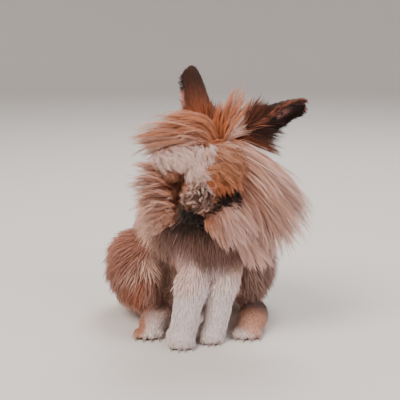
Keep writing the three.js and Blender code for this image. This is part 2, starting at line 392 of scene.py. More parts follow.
@dataclass(frozen=True)
class HideFinish:
    """Living skin with short underfur, matt and faintly streaked, so that no bare gap shows in the coat."""

    name: str = "skin with short underfur"
    hair_size: float = 0.9  # mm, a little flock of underfur, as single hairs are too fine to show
    roughness: float = 0.85

    def make(self) -> bpy.types.Material:
        """Builds the material from the skin's own tint and a fine flocked bump."""
        material, tree = new_material(self.name)
        place = add_node(tree, "ShaderNodeTexCoord")
        flock = add_node(
            tree,
            "ShaderNodeTexNoise",
            {"Scale": 1 / (self.hair_size * MILLIMETRE), "Detail": 4.0, "Roughness": 0.65},
            {"Vector": place.outputs["Object"]},
        )
        colour = shade_tint(tree, flock.outputs["Fac"], NOISE_SPAN, (0.72, 1.16))
        bump = add_node(
            tree, "ShaderNodeBump", {"Strength": 0.5, "Distance": 0.0005}, {"Height": flock.outputs["Fac"]}
        )
        shader = add_node(
            tree,
            "ShaderNodeBsdfPrincipled",
            {"Roughness": self.roughness, "IOR": 1.45, "Specular IOR Level": 0.2, "Sheen Weight": 0.2},
            {"Base Color": colour.outputs["Vector"], "Normal": bump.outputs["Normal"]},
        )
        add_node(tree, "ShaderNodeOutputMaterial", links={"Surface": shader.outputs["BSDF"]})
        return material


@dataclass(frozen=True)
class WetFinish:
    """A moist smooth tissue, such as a cornea or a nose. Its thin film of tears shows as sharp glints."""

    name: str
    grain: float  # mm, size of the tissue's pattern
    roughness: float = 0.3
    film: float = 1.0
    film_roughness: float = 0.04
    relief: float = 0.1
    contrast: float = 0.25

    def make(self) -> bpy.types.Material:
        """Builds the material from the piece's own tint, a fine pattern and a clear film."""
        material, tree = new_material(self.name)
        place = add_node(tree, "ShaderNodeTexCoord")
        pattern = add_node(
            tree,
            "ShaderNodeTexVoronoi",
            {"Scale": 1 / (self.grain * MILLIMETRE), "feature": "SMOOTH_F1"},
            {"Vector": place.outputs["Object"]},
        )
        tones = (1 - self.contrast, 1 + self.contrast)
        colour = shade_tint(tree, pattern.outputs["Distance"], (0.0, 0.8), tones)
        bump = add_node(
            tree,
            "ShaderNodeBump",
            {"Strength": self.relief, "Distance": 0.0003},
            {"Height": pattern.outputs["Distance"]},
        )
        shader = add_node(
            tree,
            "ShaderNodeBsdfPrincipled",
            {
                "Roughness": self.roughness,
                "IOR": 1.38,
                "Coat Weight": self.film,
                "Coat Roughness": self.film_roughness,
                "Coat IOR": 1.34,
            },
            {"Base Color": colour.outputs["Vector"], "Normal": bump.outputs["Normal"]},
        )
        add_node(tree, "ShaderNodeOutputMaterial", links={"Surface": shader.outputs["BSDF"]})
        return material


@dataclass(frozen=True)
class HornFinish:
    """Keratin horn grown in layers, which gives a claw fine lines along it and a dull polish."""

    name: str = "claw horn grown in layers"
    layer: float = 0.25  # mm between growth lines

    def make(self) -> bpy.types.Material:
        """Builds the material from the claw's own tint with fine growth lines."""
        material, tree = new_material(self.name)
        place = add_node(tree, "ShaderNodeTexCoord")
        layers = add_node(
            tree,
            "ShaderNodeTexWave",
            {"Scale": 1 / (self.layer * MILLIMETRE) / 6, "Distortion": 2.0, "Detail": 2.0},
            {"Vector": place.outputs["Object"]},
        )
        colour = shade_tint(tree, layers.outputs["Fac"], (0.0, 1.0), (0.8, 1.15))
        shader = add_node(
            tree,
            "ShaderNodeBsdfPrincipled",
            {"Roughness": 0.38, "IOR": 1.54},
            {"Base Color": colour.outputs["Vector"]},
        )
        add_node(tree, "ShaderNodeOutputMaterial", links={"Surface": shader.outputs["BSDF"]})
        return material


@dataclass(frozen=True)
class PaperFinish:
    """The studio's seamless paper sweep, matt and pale."""

    name: str = "seamless paper"
    code: str = "#e6e0da"

    def make(self) -> bpy.types.Material:
        """Builds the material."""
        material, tree = new_material(self.name)
        shader = add_node(
            tree,
            "ShaderNodeBsdfPrincipled",
            {"Base Color": (*linear(self.code), 1.0), "Roughness": 0.9, "Specular IOR Level": 0.1},
        )
        add_node(tree, "ShaderNodeOutputMaterial", links={"Surface": shader.outputs["BSDF"]})
        return material


LONG_FUR = FurFinish("long silky mane hair", roughness=0.5, sheen=0.12, contrast=0.16)
BODY_FUR = FurFinish("soft double coat", sheen=0.12)
SHORT_FUR = FurFinish("short dense fur", roughness=0.7, sheen=0.1, hair_spacing=0.12)
HIDE = HideFinish()
CORNEA = WetFinish("cornea over a brown iris", grain=0.5)
NOSE_SKIN = WetFinish(
    "moist nose skin", grain=0.45, roughness=0.5, film=0.35, film_roughness=0.3, relief=0.6
)
HORN = HornFinish()
PAPER = PaperFinish()


# Pieces


@dataclass
class Shell:
    """A mesh in drawing millimetres with a colour at each point."""

    points: Array
    faces: list | Array
    tint: Array | None = None

    def moved(self, matrix: Array, origin: Array) -> "Shell":
        """Gives the shell turned and moved."""
        return Shell(self.points @ matrix.T + origin, self.faces, self.tint)


def merged(shells: Sequence[Shell]) -> Shell:
    """Joins shells into one, without welding them."""
    faces: list = []
    offset = 0
    for shell in shells:
        faces.extend([[int(i) + offset for i in face] for face in shell.faces])
        offset += len(shell.points)
    tints = [shell.tint for shell in shells]
    tint = None if any(part is None for part in tints) else np.concatenate(tints)
    return Shell(np.concatenate([shell.points for shell in shells]), faces, tint)


def paint(mesh: bpy.types.Mesh, tint: Array) -> None:
    """Stores a colour at each point of a mesh."""
    layer = mesh.color_attributes.new("tint", "FLOAT_COLOR", "POINT")
    values = np.ones((len(tint), 4), np.float32)
    values[:, :3] = tint
    layer.data.foreach_set("color", values.ravel())


def show(name: str, mesh: bpy.types.Mesh, finish) -> bpy.types.Object:
    """Puts a mesh in the scene as a piece that moves with the animal.

    Args:
        name: The piece's name.
        mesh: Its mesh, in metres.
        finish: The finish that makes its material.

    Returns:
        The new piece.
    """
    mesh.name = name
    mesh.materials.append(bpy.data.materials.get(finish.name) or finish.make())
    piece = bpy.data.objects.new(name, mesh)
    bpy.context.scene.collection.objects.link(piece)
    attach(piece, BODY)
    log.info("%s: %d faces", name, len(mesh.polygons))
    return piece


def show_shell(name: str, shell: Shell, place: Place, finish) -> bpy.types.Object:
    """Makes a smooth piece from a shell that has colours."""
    mesh = bpy.data.meshes.new(name)
    mesh.from_pydata(place.metres(shell.points).tolist(), [], [list(map(int, face)) for face in shell.faces])
    mesh.update()
    mesh.polygons.foreach_set("use_smooth", np.ones(len(mesh.polygons), bool))
    paint(mesh, shell.tint)
    return show(name, mesh, finish)


# Markings


@dataclass(frozen=True)
class Patch:
    """A marking: an ellipsoid of colour with a ragged edge, in one of the frames."""

    zone: Zone
    centre: Point
    radii: Point
    colour: str
    edge: float = 0.3
    ragged: float = 0.12
    strength: float = 1.0


class Tone:
    """Colours of the coat, bare skin, eyes and claws, as sRGB hex values."""

    CREAM = "#f0c3b0"
    WHITE = "#f8d0c4"
    MILK = "#f4e2df"
    TAN = "#d48f6e"
    APRICOT = "#df9872"
    ORANGE = "#c06f46"
    CHESTNUT = "#965741"
    RUST = "#97502d"
    UMBER = "#6a3926"
    SABLE = "#43261a"
    SOOT = "#1c110d"
    MAUVE = "#916558"
    # painted shade: the brown-grey of coat that lies in shadow
    PAINTED_SHADE = "#603f36"
    PINK = "#cf9288"
    NOSE = "#5a3a33"
    LID = "#3a2620"
    PUPIL = "#0a0605"
    IRIS = "#4a2814"
    LIMBUS = "#180d08"
    SCLERA = "#8f7a70"
    HORN = "#a58b7b"


@dataclass(frozen=True)
class Markings:
    """The broken pattern: orange and tan patches over a cream and white ground, with painted shade where the
    coat lies in shadow.
    """

    posture: Posture
    ground: str = Tone.CREAM
    patches: tuple[Patch, ...] = (
        # Trunk: a saddle over the back, patches on both thighs, a pale belly and pale legs, with painted
        # shade on the left thigh, by the left hind foot, on the right flank and on the breast under the head
        Patch(Zone.TRUNK, (0, 40, 175), (64, 110, 80), Tone.TAN, 0.35, 0.25),
        Patch(Zone.TRUNK, (4, 60, 165), (46, 70, 60), Tone.ORANGE, 0.4, 0.3, 0.75),
        # the right thigh's real orange patch is darkened to chestnut, and to mauve lower down, as painted
        # shade
        Patch(Zone.TRUNK, (-78, 44, 80), (38, 52, 36), Tone.CHESTNUT, 0.35, 0.25, 0.85),
        Patch(Zone.TRUNK, (-78, 34, 44), (36, 50, 26), Tone.MAUVE, 0.5, 0.3, 0.85),
        Patch(Zone.TRUNK, (76, 24, 62), (38, 60, 48), Tone.PAINTED_SHADE, 0.4, 0.25, 0.8),
        Patch(Zone.TRUNK, (-58, 0, 34), (22, 26, 24), Tone.RUST, 0.4, 0.25, 0.7),
        Patch(Zone.WHOLE, (-4, -48, 108), (64, 40, 33), Tone.PAINTED_SHADE, 0.4, 0.12, 0.9),
        Patch(Zone.WHOLE, (6, -70, 8), (70, 70, 72), Tone.MILK, 0.3, 0.1, 0.95),
        Patch(Zone.WHOLE, (-16, -56, 80), (14, 20, 22), Tone.WHITE, 0.5, 0.15, 0.8),
        Patch(Zone.WHOLE, (60, -2, 22), (18, 22, 14), Tone.PAINTED_SHADE, 0.5, 0.2, 0.8),
        Patch(Zone.WHOLE, (-38, 0, 64), (12, 40, 40), Tone.PAINTED_SHADE, 0.5, 0.2, 0.5),
        Patch(Zone.WHOLE, (54, -28, 16), (22, 24, 13), Tone.TAN, 0.6, 0.3, 0.85),
        Patch(Zone.WHOLE, (-62, -34, 12), (8, 14, 10), Tone.ORANGE, 0.6, 0.3, 0.8),
        # Head: orange and tan with a white blaze to the right of the parting, and sooty jaws painted darker
        # still as shade under the chin and the cheeks
        Patch(Zone.HEAD, (0, 62, 8), (60, 52, 60), Tone.ORANGE, 0.2, 0.05, 0.85),
        Patch(Zone.HEAD, (16, 40, 8), (21, 30, 24), Tone.ORANGE, 0.4, 0.2),
        Patch(Zone.HEAD, (22, 26, -2), (10, 14, 12), Tone.RUST, 0.5, 0.2, 0.7),
        Patch(Zone.HEAD, (0, 40, -24), (40, 34, 16), Tone.SOOT, 0.35, 0.15, 0.95),
        Patch(Zone.HEAD, (-24, 34, -14), (14, 24, 12), Tone.SABLE, 0.4, 0.2, 0.9),
        Patch(Zone.HEAD, (20, 28, -10), (12, 16, 8), Tone.SOOT, 0.5, 0.2, 0.8),
        Patch(Zone.HEAD, (0, 8, -6), (15, 16, 16), Tone.TAN, 0.3, 0.25, 0.9),
        Patch(Zone.HEAD, (-17, 38, 14), (16, 25, 18), Tone.WHITE, 0.2, 0.12),
        Patch(Zone.HEAD, (-3, 20, 14), (8, 12, 8), Tone.WHITE, 0.4, 0.15),
        Patch(Zone.HEAD, (13, 14, -8), (8, 20, 14), Tone.SABLE, 0.4, 0.2, 0.95),
        Patch(Zone.HEAD, (7, 70, 34), (5, 24, 14), Tone.RUST, 0.5, 0.2, 0.7),
        # Throat: sooty fur with painted shadow over it, under the chin where the jaw's wool meets the breast
        Patch(Zone.WHOLE, (-9, -55, 129), (15, 20, 12), Tone.SOOT, 0.35, 0.15, 0.85),
        Patch(Zone.WHOLE, (28, -55, 143), (18, 20, 8), Tone.SOOT, 0.35, 0.15, 0.85),
    )

    def at(self, points: Array) -> Array:
        """Gives the coat's colour at each point.

        Args:
            points: Places in the drawing frame.

        Returns:
            Linear colours, one row for each point.
        """
        colour = np.tile(linear(self.ground), (len(points), 1))
        wander = mottle(points, 11.0) + 0.5 * mottle(points + 40.0, 4.0)
        local = {zone: self.posture.into(zone, points) for zone in Zone}
        for patch in self.patches:
            reach = np.linalg.norm((local[patch.zone] - patch.centre) / np.array(patch.radii), axis=1)
            reach = reach + patch.ragged * wander
            weight = patch.strength * (1 - ramp(1 - patch.edge, 1 + patch.edge, reach))
            colour += weight[:, None] * (linear(patch.colour) - colour)
        return colour


# Skin


@dataclass(frozen=True)
class Form:
    """One rounded part of the body on a bent centre line.

    Each station is (x, y, z, half width, half height), and the first and last are its two tips.
    """

    label: str
    zone: Zone
    stations: tuple[Station, ...]
    fullness: float = 0.62
    sides: int = 28
    rings: int = 18

    def mirrored(self, label: str) -> "Form":
        """Gives the same form on the animal's other side."""
        return replace(self, label=label, stations=tuple((-s[0], *s[1:]) for s in self.stations))

    def line(self, share: Array) -> Array:
        """Samples the centre line and girth, as rows of x, y, z, half width and half height."""
        return curve_points(np.array(self.stations), share)

    def shell(self, posture: Posture) -> Shell:
        """Builds the form's closed surface in the drawing frame."""
        latitude = np.linspace(-math.pi / 2, math.pi / 2, self.rings + 1)
        share = (np.sin(latitude) + 1) / 2
        line = self.line(share)
        step = 1e-3
        ahead, behind = (self.line(np.clip(share + move, 0, 1))[:, :3] for move in (step, -step))
        tangent = unit(ahead - behind)
        across = unit(np.array([1.0, 0, 0]) - tangent * tangent[:, :1])
        upward = np.cross(across, tangent)
        angle = circle(self.sides)
        spread = np.maximum(np.cos(latitude), 0)[:, None] ** self.fullness
        wide = (np.cos(angle) * spread * line[:, 3:4])[:, :, None] * across[:, None]
        high = (np.sin(angle) * spread * line[:, 4:5])[:, :, None] * upward[:, None]
        points = (line[:, None, :3] + wide + high)[1:-1].reshape(-1, 3)
        points = np.concatenate([points, line[:1, :3], line[-1:, :3]])
        rows = self.rings - 1
        faces = ring_faces(rows, self.sides)
        bottom, top = len(points) - 2, len(points) - 1
        last = (rows - 1) * self.sides
        for i in range(self.sides):
            k = (i + 1) % self.sides
            faces.append([bottom, k, i])
            faces.append([top, last + i, last + k])
        return Shell(posture.out(self.zone, points), faces)


def toe_row(
    label: str, tip: tuple[float, float], spread: float, length: float, radius: float, splay: float
) -> list[Form]:
    """Makes the toes across the front of a foot.

    Args:
        label: The foot that they belong to.
        tip: Where the middle toes end.
        spread: Half the width of the row.
        length: Length of the toes.
        radius: Half thickness of one toe.
        splay: How far the row leans to the side for each millimetre forward.

    Returns:
        One form for each of the four toes.
    """
    forms = []
    for offset in np.linspace(-1, 1, 4):
        back = tip[1] + abs(offset) ** 1.5 * radius * 0.9
        root = tip[0] + offset * spread * 0.75
        end = tip[0] + offset * spread + splay * length
        forms.append(
            Form(
                label,
                Zone.WHOLE,
                (
                    (root, back + length, radius * 1.1, radius * 0.9, radius),
                    ((root + end) / 2, back + length * 0.5, radius, radius, radius * 1.05),
                    (end, back, radius * 0.9, radius * 0.8, radius * 0.8),
                ),
                sides=14,
                rings=10,
            )
        )
    return forms


def both_sides(form: Form) -> list[Form]:
    """Gives a left form with its mirror image on the right."""
    return [form, form.mirrored(form.label.replace("left", "right"))]


def limb(label: str, *stations: Station) -> Form:
    """Makes one form of a leg or foot, which is blunter at its ends than the other forms."""
    return Form(label, Zone.WHOLE, stations, fullness=0.5)


@dataclass(frozen=True)
class Anatomy:
    """The bare body under the coat, as forms that are welded into one skin."""

    posture: Posture

    def head(self) -> list[Form]:
        """Gives the cranium, snout, lips, chin, jaws, brows and eye sockets."""
        cranium = (
            (0, 14, -2, 8, 9), (0, 30, 0, 14, 16), (0, 50, 4, 20, 23), (0, 70, 6, 21, 25),
            (0, 90, 2, 16, 18),
        )
        snout = ((0, 2, -5, 6.5, 6), (0, 12, -3, 9.5, 9), (0, 26, 1, 13, 14), (0, 46, 4, 14, 15))
        chin = ((0, 7, -14, 4.5, 3.5), (0, 17, -16, 7.5, 5), (0, 36, -17, 9, 7))
        lip = ((4, 1.5, -7, 5, 5), (6.5, 11, -8, 7.2, 7.2), (9.5, 23, -8, 7.5, 8), (13, 36, -7, 5, 6))
        jaw = ((14, 24, -9, 6, 8), (20, 42, -8, 9, 14), (21, 60, -6, 9, 17), (17, 80, -3, 7, 11))
        socket = ((13, 31, 8, 5, 6), (16.5, 42, 10.5, 8.5, 10), (15, 54, 11, 6, 7))
        brow = ((14, 31, 14, 3, 3), (18.5, 42, 19.5, 4.5, 3.5), (18, 54, 20, 3, 3))
        single = (("face", cranium), ("muzzle", snout), ("muzzle", chin))
        paired = (("muzzle", lip), ("face", jaw), ("face", socket), ("face", brow))
        forms = [Form(label, Zone.HEAD, line) for label, line in single]
        return forms + [form for label, line in paired for form in both_sides(Form(label, Zone.HEAD, line))]

    def trunk(self) -> list[Form]:
        """Gives the neck, breast, ribs, seat, thighs and tail."""
        neck = (
            (16, -40, 184, 22, 22), (13, -16, 174, 36, 34), (6, 16, 152, 46, 40), (-2, 52, 122, 42, 38),
            (-6, 80, 98, 28, 28),
        )
        chest = (
            (12, -38, 166, 26, 14), (12, -42, 146, 40, 18), (11, -41, 118, 45, 21), (10, -34, 86, 38, 20),
            (8, -26, 60, 24, 14),
        )
        ribs = (
            (0, -36, 104, 30, 34), (0, -14, 112, 47, 47), (0, 22, 108, 56, 50), (0, 62, 90, 55, 47),
            (0, 98, 64, 38, 36),
        )
        seat = (
            (0, 2, 44, 34, 30), (0, 36, 50, 54, 47), (0, 76, 51, 55, 48), (0, 108, 46, 38, 36),
            (0, 118, 44, 26, 26),
        )
        haunch = (
            (49, -10, 42, 9, 14), (56, 12, 46, 21, 36), (58, 50, 50, 26, 43), (51, 84, 46, 21, 38),
            (42, 100, 44, 12, 26),
        )
        knee = ((50, -12, 34, 7, 10), (52, 2, 36, 13, 20), (52, 26, 34, 18, 28), (50, 48, 32, 18, 28))
        tail = ((0, 106, 26, 7, 6), (0, 119, 35, 10, 9), (0, 124, 50, 9, 7), (0, 122, 62, 4, 4))
        return [
            Form("neck", Zone.WHOLE, neck),
            Form("chest", Zone.WHOLE, chest),
            Form("trunk", Zone.TRUNK, ribs),
            Form("rump", Zone.TRUNK, seat),
            *both_sides(Form("thigh_left", Zone.TRUNK, haunch)),
            *both_sides(Form("thigh_left", Zone.TRUNK, knee)),
            Form("tail", Zone.TRUNK, tail),
        ]

    def limbs(self) -> list[Form]:
        """Gives the forelegs, forepaws, hind feet and all the toes."""
        return [
            limb(
                "foreleg_left", (34, -20, 116, 16, 18), (27, -33, 78, 14, 15), (19.5, -41, 42, 12.8, 13),
                (14, -43, 8, 12, 12.5), (13, -43, -8, 11, 12),
            ),
            limb(
                "forepaw_left", (12, -26, 9, 8, 7), (12, -38, 11, 12.6, 11), (12, -50, 8.5, 11.6, 8.6),
                (12, -57, 6.5, 8.5, 6),
            ),
            *toe_row("forepaw_left", (12, -59), 8.8, 13, 4.3, -0.1),
            limb(
                "foreleg_right", (9, -24, 116, 16, 18), (-4, -41, 76, 14.5, 15.5), (-12, -51, 40, 13.4, 14),
                (-17, -54, 8, 13, 13), (-18, -54, -8, 12, 12),
            ),
            limb(
                "forepaw_right", (-18, -36, 9, 8.5, 7), (-18, -50, 11, 14, 11), (-18.5, -64, 8.5, 13, 8.6),
                (-19, -71, 6.5, 9.5, 6),
            ),
            *toe_row("forepaw_right", (-18.5, -73), 10.6, 13, 4.6, 0.1),
            limb(
                "hind_foot_left", (62, 40, 9, 8, 8), (58, 10, 11, 13, 12), (52, -18, 11, 15.5, 11),
                (48, -41, 8, 12.5, 8),
            ),
            *toe_row("hind_foot_left", (48, -47), 12.4, 16, 4.8, -0.1),
            limb(
                "hind_foot_right", (-40, 42, 9, 8, 8), (-42, 12, 11, 13, 12), (-47, -18, 11, 15, 11),
                (-49, -41, 8, 12.5, 8),
            ),
            *toe_row("hind_foot_right", (-49, -47), 12.2, 16, 4.8, -0.2),
        ]

    def forms(self) -> list[Form]:
        """Gives every form."""
        return [*self.head(), *self.trunk(), *self.limbs()]


def face_normals(corners: Array) -> Array:
    """Gives a normal for each triangle, twice as long as the triangle's area."""
    return np.cross(corners[:, 1] - corners[:, 0], corners[:, 2] - corners[:, 0])


@dataclass
class Surface:
    """The skin as triangles that hair can grow from."""

    points: Array
    normals: Array
    faces: Array
    quads: list
    labels: npt.NDArray
    tree: BVHTree = field(repr=False, default=None)

    def project(self, places: Array) -> tuple[Array, Array]:
        """Finds the nearest places on the skin and their normals."""
        found = np.empty_like(places)
        normals = np.empty_like(places)
        for i, place in enumerate(places):
            hit, normal, _, _ = self.tree.find_nearest(Vector(place))
            found[i] = hit
            normals[i] = normal
        return found, normals

    def scatter(self, label: str, density: float, rng: np.random.Generator) -> tuple[Array, Array]:
        """Picks evenly spread places on one part of the skin.

        Args:
            label: The part to pick from.
            density: Places for each square millimetre.
            rng: The source of random numbers.

        Returns:
            The places and the skin's normals there.
        """
        chosen = self.faces[self.labels[self.faces[:, 0]] == label]
        area = np.linalg.norm(face_normals(self.points[chosen]), axis=1) / 2
        total = np.cumsum(area)
        count = int(total[-1] * density)
        mark = (np.arange(count) + rng.random(count)) / count * total[-1]
        index = np.minimum(np.searchsorted(total, mark), len(chosen) - 1)
        first, second = rng.random(count), rng.random(count)
        flip = first + second > 1
        first[flip], second[flip] = 1 - first[flip], 1 - second[flip]
        share = np.stack([1 - first - second, first, second], axis=1)[:, :, None]
        places = (self.points[chosen[index]] * share).sum(axis=1)
        return places, unit((self.normals[chosen[index]] * share).sum(axis=1))


def neighbour_mean(values: Array, edges: Array) -> Array:
    """Averages the values of each point's neighbours along a mesh's edges."""
    count = np.bincount(edges.ravel(), minlength=len(values))[:, None]
    total = np.empty_like(values)
    for axis in range(values.shape[1]):
        total[:, axis] = np.bincount(edges[:, 0], values[edges[:, 1], axis], len(values))
        total[:, axis] += np.bincount(edges[:, 1], values[edges[:, 0], axis], len(values))
    return total / np.maximum(count, 1)


@dataclass
class Skin:
    """One skin for the whole animal, welded from the anatomy's forms."""

    posture: Posture
    markings: Markings
    voxel: float = 1.7
    broad_rounds: int = 150
    fine_rounds: tuple[tuple[str, int], ...] = (
        ("face", 6), ("muzzle", 5), ("tail", 14), ("forepaw", 4), ("hind_foot", 6), ("foreleg", 16),
    )
    blend_rounds: int = 16
    smoothing: float = 0.55  # how far one round moves a point towards its neighbours' mean
    shade: float = 0.62  # how dark the skin is beside the coat over it
    sole_gap: float = 0.4
    flesh: tuple[str, ...] = (
        "head", "muzzle", "neck", "chest", "trunk", "rump", "thigh_left", "thigh_right", "tail",
        "foreleg_left", "foreleg_right", "forepaw_left", "forepaw_right",
        "hind_foot_left", "hind_foot_right", "ear_left", "ear_right",
    )

    def weld(self, forms: Sequence[Form]) -> tuple[Array, list, Array]:
        """Joins the forms' surfaces into one outer surface.

        Args:
            forms: The anatomy's forms.

        Returns:
            The points, the faces and the edges of the welded mesh.
        """
        shell = merged([form.shell(self.posture) for form in forms])
        mesh = bpy.data.meshes.new("forms")
        mesh.from_pydata(shell.points.tolist(), [], shell.faces)
        rough = bpy.data.objects.new("forms", mesh)
        bpy.context.scene.collection.objects.link(rough)
        remesh = rough.modifiers.new("weld", "REMESH")
        remesh.mode = "VOXEL"
        remesh.voxel_size = self.voxel
        fused = bpy.data.meshes.new_from_object(rough.evaluated_get(bpy.context.evaluated_depsgraph_get()))
        points = np.empty(len(fused.vertices) * 3)
        fused.vertices.foreach_get("co", points)
        edges = np.empty(len(fused.edges) * 2, int)
        fused.edges.foreach_get("vertices", edges)
        faces = [list(polygon.vertices) for polygon in fused.polygons]
        bpy.data.objects.remove(rough)
        bpy.data.meshes.remove(mesh)
        bpy.data.meshes.remove(fused)
        return points.reshape(-1, 3), faces, edges.reshape(-1, 2)

    def relax(self, points: Array, edges: Array, names: npt.NDArray) -> Array:
        """Smooths the seams between the forms, broadly on the body and finely on the head and feet."""
        rounds = np.full((len(points), 1), float(self.broad_rounds))
        for name, count in self.fine_rounds:
            rounds[np.char.startswith(names, name)] = count
        for _ in range(self.blend_rounds):
            rounds = neighbour_mean(rounds, edges)
        for step in range(self.broad_rounds):
            moving = self.smoothing * np.clip(rounds - step, 0, 1)
            points = points + moving * (neighbour_mean(points, edges) - points)
        points[:, 2] = np.maximum(points[:, 2], self.sole_gap)
        return points

    def label(self, points: Array, forms: Sequence[Form]) -> npt.NDArray:
        """Names the part of the body that each point belongs to, which is that of the nearest form."""
        shells = [form.shell(self.posture) for form in forms]
        whole = merged(shells)
        owner = np.repeat([form.label for form in forms], [len(shell.faces) for shell in shells])
        tree = BVHTree.FromPolygons(whole.points.tolist(), whole.faces)
        return owner[[tree.find_nearest(Vector(point))[2] for point in points]]

    def surface(self, anatomy: Anatomy) -> Surface:
        """Builds the welded skin as a surface that hair can grow from."""
        forms = anatomy.forms()
        points, quads, edges = self.weld(forms)
        names = self.label(points, forms)
        points = self.relax(points, edges, names)
        faces = np.array([[q[0], q[i], q[i + 1]] for q in quads for i in range(1, len(q) - 1)])
        flat = face_normals(points[faces])
        normals = np.zeros_like(points)
        for corner in range(3):
            for axis in range(3):
                normals[:, axis] += np.bincount(faces[:, corner], flat[:, axis], len(points))
        tree = BVHTree.FromPolygons(points.tolist(), faces.tolist())
        return Surface(points, unit(normals), faces, quads, names, tree)

    def tints(self, points: Array) -> Array:
        """Colours the skin as the coat over it, a little darker where light sinks into the fur."""
        return self.markings.at(points) * self.shade

    def build(self, surface: Surface, extras: Sequence[Shell], place: Place) -> bpy.types.Object:
        """Shows the skin with its ears and eyelids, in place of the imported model's flesh."""
        body = Shell(surface.points, surface.quads, self.tints(surface.points))
        piece = show_shell("skin", merged([body, *extras]), place, HIDE)
        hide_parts(*self.flesh)
        return piece


# Coat


@dataclass
class Tufts:
    """A set of tufts to grow, with one row for each."""

    root: Array
    normal: Array
    lie: Array
    length: Array
    lift: Array
    width: Array
    base: Array
    tip: Array


@dataclass(frozen=True)
class Growth:
    """How the tufts of one part are shaped."""

    rings: int = 3
    clump: float = 0.5
    clump_size: int = 14
    curl: float = 0.0
    waves: float = 1.0
    droop: float = 0.0
    flatness: float = 0.5
    softness: float = 0.55


def bake_patches(roots: Array, normal: Array) -> Array:
    """Gives each root its own place on an unwrap of the skin round its middle.

    The skin is opened out by the angle round its upright middle line and by height. Both are then evened
    out, so that the places fill the square and no two tufts share one.

    Args:
        roots: The tufts' roots.
        normal: The skin's normals there.

    Returns:
        One place in the unit square for each root.
    """
    middle = np.median(roots, axis=0)
    outward = roots - middle + 4.0 * normal
    angle = np.arctan2(outward[:, 0], -outward[:, 1])
    height = roots[:, 2] + 0.2 * outward[:, 2]
    count = len(roots)
    columns = max(1, math.ceil(math.sqrt(count)))
    order = np.argsort(angle, kind="stable")
    places = np.empty((count, 2))
    for column, members in enumerate(np.array_split(order, columns)):
        ranked = members[np.argsort(height[members], kind="stable")]
        places[ranked, 0] = (column + 0.5) / columns
        places[ranked, 1] = (np.arange(len(ranked)) + 0.5) / len(ranked)
    return 0.004 + 0.992 * places


